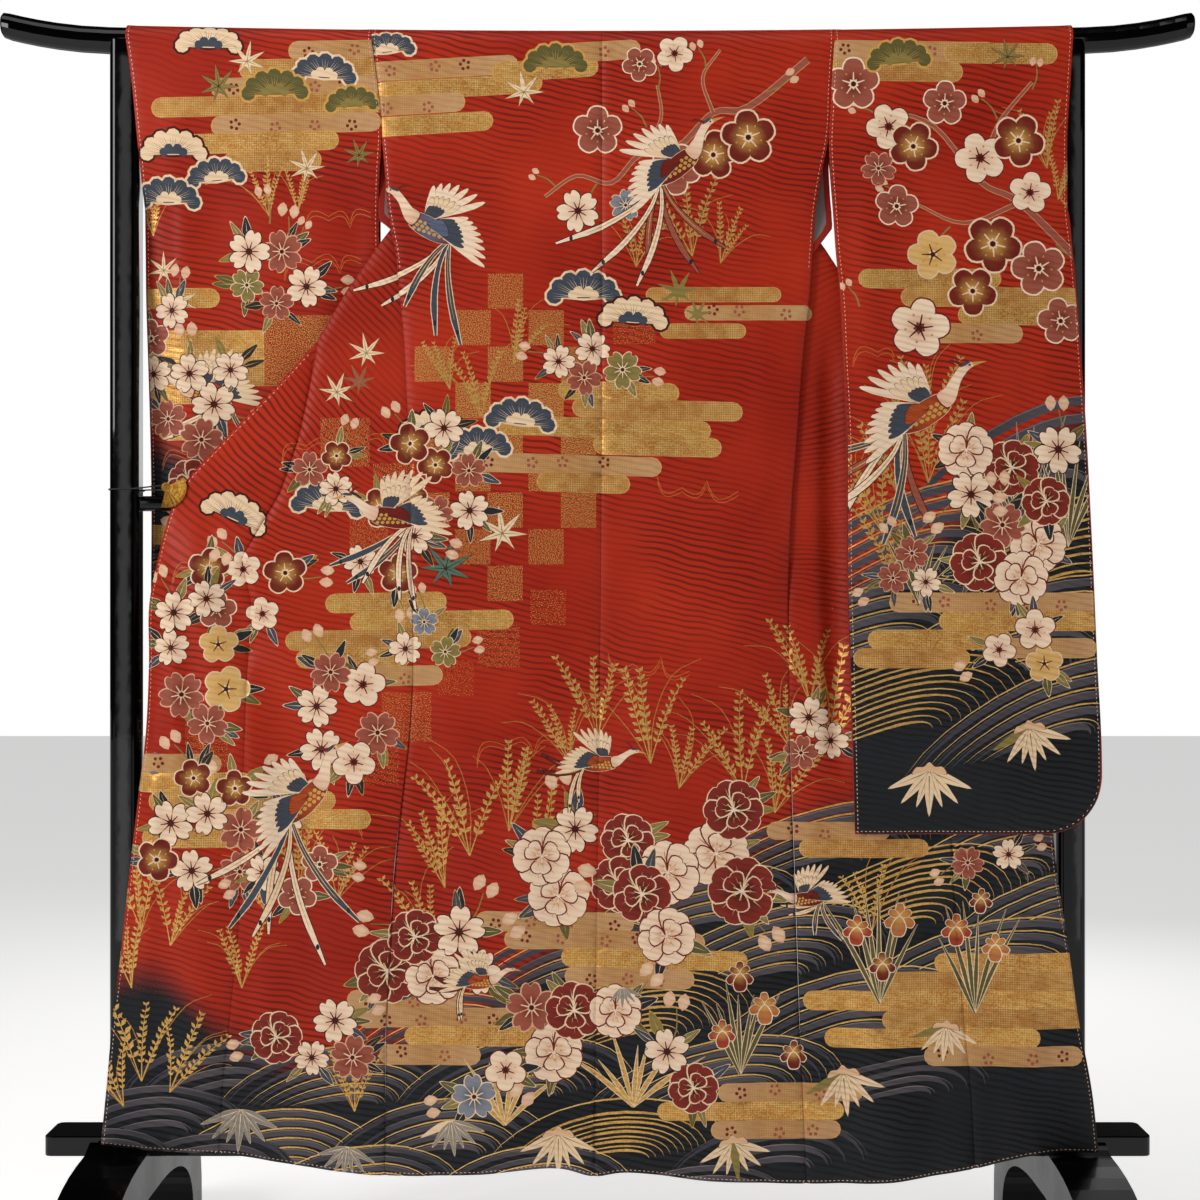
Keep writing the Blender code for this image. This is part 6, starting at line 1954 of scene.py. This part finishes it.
# %% [markdown]
# ## Silk
#
# The cloth is a heavy satin silk with a woven ripple, thin darker lines about a centimetre apart that
# waver and come and go like watered silk. The shader lays the print over it: first the red and charcoal
# ground with the ripple, then the dyed colours, then the gold. Satin shines along its threads, so it has
# some sheen and a soft highlight, and the gold leaf is a metal that is broken up by the weave.

# %% Silk material
RIPPLE_PITCH = 0.0090
RIPPLE_SLOPE = 0.22
RED_BORDER = 0.009           # width of the red edge on the lining


def mixed(tree, first, second, share, blend="MIX"):
    """Mixes two colours; each may be a node's output or a hex value."""
    made = tree.nodes.new("ShaderNodeMix")
    made.data_type = "RGBA"
    made.blend_type = blend
    for socket, value in ((made.inputs[6], first), (made.inputs[7], second)):
        if isinstance(value, str):
            socket.default_value = (*linear(value), 1.0)
        else:
            tree.links.new(value, socket)
    if isinstance(share, float):
        made.inputs[0].default_value = share
    else:
        tree.links.new(share, made.inputs[0])
    return made.outputs[2]


def math_node(tree, operation, *values):
    made = tree.nodes.new("ShaderNodeMath")
    made.operation = operation
    for socket, value in zip(made.inputs, values):
        if isinstance(value, (int, float)):
            socket.default_value = value
        else:
            tree.links.new(value, socket)
    return made.outputs[0]


def times(tree, one, other):
    return math_node(tree, "MULTIPLY", one, other)


def ranged(tree, value, low, high, start, end, curve_type="LINEAR"):
    made = add_node(tree, "ShaderNodeMapRange", {"Value": value}, From_Min=low, From_Max=high,
                    To_Min=start, To_Max=end)
    made.interpolation_type = curve_type
    return made.outputs["Result"]


def printed_silk():
    made, tree, shader = new_material("printed_satin_silk")
    plan = add_node(tree, "ShaderNodeUVMap", uv_map="cloth").outputs["UV"]
    split = add_node(tree, "ShaderNodeSeparateXYZ", {"Vector": plan})
    weave = add_node(tree, "ShaderNodeUVMap", uv_map="weave").outputs["UV"]
    woven_way = add_node(tree, "ShaderNodeSeparateXYZ", {"Vector": weave})
    dye = add_node(tree, "ShaderNodeAttribute", attribute_name="dye")
    foil = add_node(tree, "ShaderNodeAttribute", attribute_name="foil")
    foil_parts = add_node(tree, "ShaderNodeSeparateColor", {"Color": foil.outputs["Color"]})
    night = add_node(tree, "ShaderNodeAttribute", attribute_name="night").outputs["Fac"]

    # The woven ripple
    drift = fractal(tree, weave, 9.0, 2.0)
    height = math_node(tree, "ADD", woven_way.outputs["Y"],
                       times(tree, woven_way.outputs["X"], RIPPLE_SLOPE))
    wavering = math_node(tree, "ADD", height, times(tree, drift, 0.024))
    wave = math_node(tree, "PINGPONG", math_node(tree, "DIVIDE", wavering, RIPPLE_PITCH), 0.5)
    line = ranged(tree, wave, 0.24, 0.38, 0.0, 1.0, "SMOOTHSTEP")
    patchy = fractal(tree, plan, 5.5, 3.0)
    strength = ranged(tree, patchy, 0.38, 0.60, 0.30, 1.0)
    ripple = times(tree, line, strength)

    cloudy = fractal(tree, plan, 3.0, 4.0)
    red = mixed(tree, "#97200F", "#B23018", ranged(tree, cloudy, 0.35, 0.65, 0.0, 1.0))
    charcoal = mixed(tree, "#15191C", "#1F2427", ranged(tree, cloudy, 0.35, 0.65, 0.0, 1.0))
    speckle = fractal(tree, plan, 420.0, 1.0)
    border = math_node(tree, "ADD", night, ranged(tree, speckle, 0.3, 0.7, -0.10, 0.10))
    ground = mixed(tree, red, charcoal, ranged(tree, border, 0.05, 0.95, 0.0, 1.0))
    ground = mixed(tree, ground, "#6E2A26", times(tree, ripple, 0.66), "MULTIPLY")

    # Dyed colours, with the ripple faint in them
    dyed = mixed(tree, dye.outputs["Color"], "#B89A86", times(tree, ripple, 0.30), "MULTIPLY")
    colour = mixed(tree, ground, dyed, dye.outputs["Alpha"])

    # Gold: leaf broken by the weave, a woven grid, and scattered dust
    grain = fractal(tree, plan, 320.0, 2.0)
    across = math_node(tree, "PINGPONG", math_node(tree, "DIVIDE", split.outputs["X"], 0.0032), 0.5)
    upward = math_node(tree, "PINGPONG", math_node(tree, "DIVIDE", split.outputs["Y"], 0.0032), 0.5)
    grid = math_node(tree, "MAXIMUM", across, upward)
    worn = fractal(tree, plan, 60.0, 4.0)
    thread = ranged(tree, grid, 0.30, 0.46, 0.0, 1.0, "SMOOTHSTEP")
    thread = times(tree, thread, ranged(tree, worn, 0.40, 0.60, 0.25, 1.0))
    woven = times(tree, thread, foil_parts.outputs["Blue"])
    colour = mixed(tree, colour, "#E6C882", times(tree, woven, 0.70))
    glint = ranged(tree, grain, 0.40, 0.62, 0.0, 0.45)
    colour = mixed(tree, colour, "#E8C67C", times(tree, glint, foil_parts.outputs["Red"]))
    fleck = fractal(tree, plan, 700.0, 1.0)
    level = math_node(tree, "SUBTRACT", 0.72, times(tree, foil_parts.outputs["Green"], 0.38))
    dust = ranged(tree, math_node(tree, "SUBTRACT", fleck, level), -0.01, 0.03, 0.0, 1.0)
    dust = times(tree, dust, ranged(tree, foil_parts.outputs["Green"], 0.0, 0.15, 0.0, 1.0))
    colour = mixed(tree, colour, "#D9AE5E", times(tree, dust, 0.8))

    metal = math_node(tree, "MAXIMUM", times(tree, foil_parts.outputs["Red"], 0.55),
                      times(tree, dust, 0.6))
    fine = fractal(tree, plan, 260.0, 2.0)
    relief = math_node(tree, "ADD", times(tree, ripple, -0.8), times(tree, fine, 0.5))
    relief = math_node(tree, "ADD", relief, times(tree, foil_parts.outputs["Red"], 0.35))
    bump = add_node(tree, "ShaderNodeBump", {"Height": relief}, Strength=0.45, Distance=0.0006)
    tree.links.new(colour, shader.inputs["Base Color"])
    tree.links.new(metal, shader.inputs["Metallic"])
    tree.links.new(ranged(tree, ripple, 0.0, 1.0, 0.40, 0.56), shader.inputs["Roughness"])
    tree.links.new(bump.outputs["Normal"], shader.inputs["Normal"])
    shader.inputs["Specular IOR Level"].default_value = 0.14
    shader.inputs["Sheen Weight"].default_value = 0.02
    shader.inputs["Sheen Roughness"].default_value = 0.45
    shader.inputs["Sheen Tint"].default_value = (*linear("#FFB090"), 1.0)
    return made


def plain_silk(name, low, high, rough=0.45):
    made, tree, shader = new_material(name)
    place = add_node(tree, "ShaderNodeTexCoord").outputs["Object"]
    drift = fractal(tree, place, 6.0, 4.0)
    weave = fractal(tree, place, 450.0, 1.0)
    tree.links.new(mixed(tree, low, high, ranged(tree, drift, 0.35, 0.65, 0.0, 1.0)),
                   shader.inputs["Base Color"])
    bump = add_node(tree, "ShaderNodeBump", {"Height": weave}, Strength=0.3, Distance=0.0004)
    tree.links.new(bump.outputs["Normal"], shader.inputs["Normal"])
    shader.inputs["Roughness"].default_value = rough
    shader.inputs["Sheen Weight"].default_value = 0.04
    shader.inputs["Specular IOR Level"].default_value = 0.15
    return made


def lining_silk():
    """Pale silk painted grey as shade, charcoal towards the hem like the face, with a narrow red border."""
    # The grey base colours are painted shade: the pale lining is coloured as it looks in shadow
    made = plain_silk("painted_shade_grey_lining", "#6F6461", "#7E736F")
    tree = made.node_tree
    shader = tree.nodes["Principled BSDF"]
    # the painted-shade grey, which the hem's charcoal and the red border are mixed over
    grey = shader.inputs["Base Color"].links[0].from_socket
    night = add_node(tree, "ShaderNodeAttribute", attribute_name="night").outputs["Fac"]
    inset = add_node(tree, "ShaderNodeAttribute", attribute_name="inset").outputs["Fac"]
    colour = mixed(tree, grey, "#23282B", night)
    border = ranged(tree, inset, RED_BORDER - 0.0006, RED_BORDER, 1.0, 0.0)
    tree.links.new(mixed(tree, colour, "#8E2018", border), shader.inputs["Base Color"])
    return made


silk_print = printed_silk()
silk_lining = lining_silk()
red_piping = plain_silk("red_silk_edge", "#8E2018", "#A32C20")
FINISHES = [silk_print, silk_lining, red_piping]


# %% Cutting the panels
SIDE_OPEN = 1.44             # above this height a side edge is open, and edged with stitches
FRONT_REACH = 0.003          # the front edge is stitched within this


def in_front(u, v):
    return v < MID_WRAP


def put_in_place(item, node):
    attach(item, "root")
    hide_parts(node)


BODY_PATCHES = body_print()
right_front = right_sleeve_print()
left_front = left_sleeve_print()
SLEEVE_PATCHES = {"left": left_front + mirrored_rear(left_front),
                  "right": right_front + mirrored_rear(right_front)}
print("patches", len(BODY_PATCHES), len(right_front), len(left_front))

for side, sign in (("left", -1), ("right", 1)):
    table = SLEEVE_LEFT if sign < 0 else SLEEVE_RIGHT
    folds = SLEEVE_FOLDS_LEFT if sign < 0 else SLEEVE_FOLDS_RIGHT

    def on_side_edge(u, v):
        return near_hem(u, v) | ((v > SIDE_OPEN) & (np.abs(u - sign * side_x(sign, v)) < STITCH_REACH))

    def on_front_edge(u, v):
        return near_hem(u, v) | (np.abs(u - sign * front_x(sign, v)) < FRONT_REACH)

    plan = back_plan(sign)
    back = make_panel("back_%s_silk" % side, plan, back_place(sign),
                      BODY_PATCHES + stitches(plan, on_side_edge), FINISHES, body_night)
    put_in_place(back, "body_" + side)
    plan = front_plan(sign)
    front = make_panel("front_%s_silk" % side, plan, front_place(sign),
                       BODY_PATCHES + stitches(plan, near_hem), FINISHES, body_night, tilted_weave(sign))
    put_in_place(front, "body_" + side)
    plan = okumi_plan(sign)
    okumi = make_panel("overlap_%s_silk" % side, plan, okumi_place(sign),
                       BODY_PATCHES + stitches(plan, on_front_edge), FINISHES, body_night,
                       tilted_weave(sign))
    put_in_place(okumi, "okumi_" + side)
    plan = sleeve_plan(sign, table)
    sleeve = make_panel("long_sleeve_%s_silk" % side, plan, sleeve_place(table, folds),
                        SLEEVE_PATCHES[side] + stitches(plan, in_front), FINISHES, sleeve_night)
    put_in_place(sleeve, "sleeve_" + side)

# %% [markdown]
# ## The collar
#
# The collar is one long band, folded double, that runs up the left front edge, round the neck behind the
# bar and down the right edge. It is turned back behind the overlap, so it is made from sections along
# that way, each with three lines across: the seam, the widest part, and the free edge.

# %% Collar
COLLAR_END = 1.026
COLLAR_SPREAD = 1.62         # above this height the collar moves out behind the bar
COLLAR_STEP = 0.0035
COLLAR_BACK = WRAP_DEPTH + TURN_GAP + 0.0055
COLLAR_AROUND = (-1.0, -0.96, -0.6, -0.2, 0.2, 0.6, 0.96, 1.0)
CollarLine = namedtuple("CollarLine", "reach behind draw_in drop")
COLLAR_LINES = [CollarLine(*row) for row in (
    (0.001, 0.0027, 1.00, -0.002),
    (0.022, 0.0085, 0.85, 0.012),
    (0.055, 0.0075, 0.62, 0.049),
)]


def collar_side(sign):
    """Sections along one front edge, from its end up to the neck."""
    z = steps(COLLAR_END, BAR_HEIGHT)
    out = sign * np.where(z >= KENSAKI, inner_x(sign, z), front_x(sign, z))
    under = np.stack([np.full(len(z), -float(sign)), -np.abs(np.gradient(out, z))], axis=1)
    under /= np.linalg.norm(under, axis=1, keepdims=True)
    near_neck = smooth((z - COLLAR_SPREAD) / (BAR_HEIGHT - COLLAR_SPREAD))
    lines = []
    for line in COLLAR_LINES:
        x, height = out + under[:, 0] * line.reach, z + under[:, 1] * line.reach
        y = turned_y(x, height) + line.behind + COLLAR_STEP * near_neck
        lines.append(np.stack([x, y, height], axis=1))
    return np.stack(lines, axis=1)


def collar_around():
    """Sections round the neck, behind the bar."""
    sections = []
    for share in COLLAR_AROUND:
        out = NECK_HALF_WIDTH * share
        axis = BAR_HEIGHT + float(bar_lift(CENTRE_TOP + out))
        section = [(CENTRE_TOP + line.draw_in * out, COLLAR_BACK, axis - line.drop)
                   for line in COLLAR_LINES]
        if abs(share) < 1.0:
            section[0] = (CENTRE_TOP + out, -WRAP_DEPTH * math.cos(NECK_TURN) + 0.0024,
                          axis + WRAP_HEIGHT * math.sin(NECK_TURN) - 0.0012)
        sections.append(section)
    return np.array(sections)


collar_grid = np.concatenate([collar_side(-1), collar_around(), collar_side(1)[::-1]])
collar_run = np.linalg.norm(np.diff(collar_grid[:, 1], axis=0), axis=1)
collar_run = np.concatenate([[0.0], np.cumsum(collar_run)])


def collar_place(u, v):
    row = np.clip(np.interp(u, collar_run, np.arange(len(collar_run))), 0, len(collar_run) - 1.001)
    column = np.clip(np.interp(-v, [line.reach for line in COLLAR_LINES], [0, 1, 2]), 0, 1.999)
    i, j = row.astype(int), column.astype(int)
    across, along = (column - j)[:, None], (row - i)[:, None]
    near = mix(collar_grid[i, j], collar_grid[i, j + 1], across)
    far = mix(collar_grid[i + 1, j], collar_grid[i + 1, j + 1], across)
    return mix(near, far, along)


length = float(collar_run[-1])
u = steps(0.0, length)
v = steps(-COLLAR_LINES[-1].reach, -COLLAR_LINES[0].reach)
plan = closed([run(u, v[0]), run(length, v), run(u[::-1], v[-1]), run(0.0, v[::-1])])
collar = make_panel("collar_silk", plan, collar_place, [], [silk_print])
put_in_place(collar, "collar")

# %% [markdown]
# ## Clips and cords
#
# The clips are small folding fans of gilt brass. Their ribs are in the solid, so the metal only adds the
# engraved rings round the pivot, a little tarnish in the pleats, and the shine. The cords are black
# braided silk.

# %% Clips and cords
CLIP_PIVOT = (0.614, 1.126)  # across from the middle, and up
RING_PITCH = 0.0055


def gilt_brass():
    made, tree, shader = new_material("engraved_gilt_brass")
    place = add_node(tree, "ShaderNodeTexCoord").outputs["Object"]
    parts = add_node(tree, "ShaderNodeSeparateXYZ", {"Vector": place})
    across = math_node(tree, "SUBTRACT", math_node(tree, "ABSOLUTE", parts.outputs["X"]), CLIP_PIVOT[0])
    up = math_node(tree, "SUBTRACT", parts.outputs["Z"], CLIP_PIVOT[1])
    reach = math_node(tree, "SQRT", math_node(tree, "ADD", times(tree, across, across),
                                              times(tree, up, up)))
    ring = math_node(tree, "PINGPONG", math_node(tree, "DIVIDE", reach, RING_PITCH), 0.5)
    cut = ranged(tree, ring, 0.0, 0.12, 1.0, 0.0, "SMOOTHSTEP")
    tarnish = fractal(tree, place, 160.0, 3.0)
    metal = mixed(tree, "#C9963F", "#9A6A26", ranged(tree, tarnish, 0.4, 0.65, 0.0, 1.0))
    tree.links.new(mixed(tree, metal, "#5E3C14", times(tree, cut, 0.7)), shader.inputs["Base Color"])
    bump = add_node(tree, "ShaderNodeBump", {"Height": cut}, Strength=0.6, Distance=0.0004)
    bump.invert = True
    tree.links.new(bump.outputs["Normal"], shader.inputs["Normal"])
    shader.inputs["Metallic"].default_value = 0.9
    shader.inputs["Roughness"].default_value = 0.30
    return made


def black_braid():
    made, tree, shader = new_material("black_silk_braid")
    place = add_node(tree, "ShaderNodeTexCoord").outputs["Object"]
    strands = add_node(tree, "ShaderNodeTexVoronoi", {"Vector": place}, Scale=900.0).outputs["Distance"]
    bump = add_node(tree, "ShaderNodeBump", {"Height": strands}, Strength=0.5, Distance=0.0003)
    tree.links.new(bump.outputs["Normal"], shader.inputs["Normal"])
    shader.inputs["Base Color"].default_value = (*linear("#0B0B0C"), 1.0)
    shader.inputs["Roughness"].default_value = 0.6
    return made


brass, braid = gilt_brass(), black_braid()
for side in ("left", "right"):
    dress("fan_clip_" + side, brass)
    dress("clip_cord_" + side, braid)
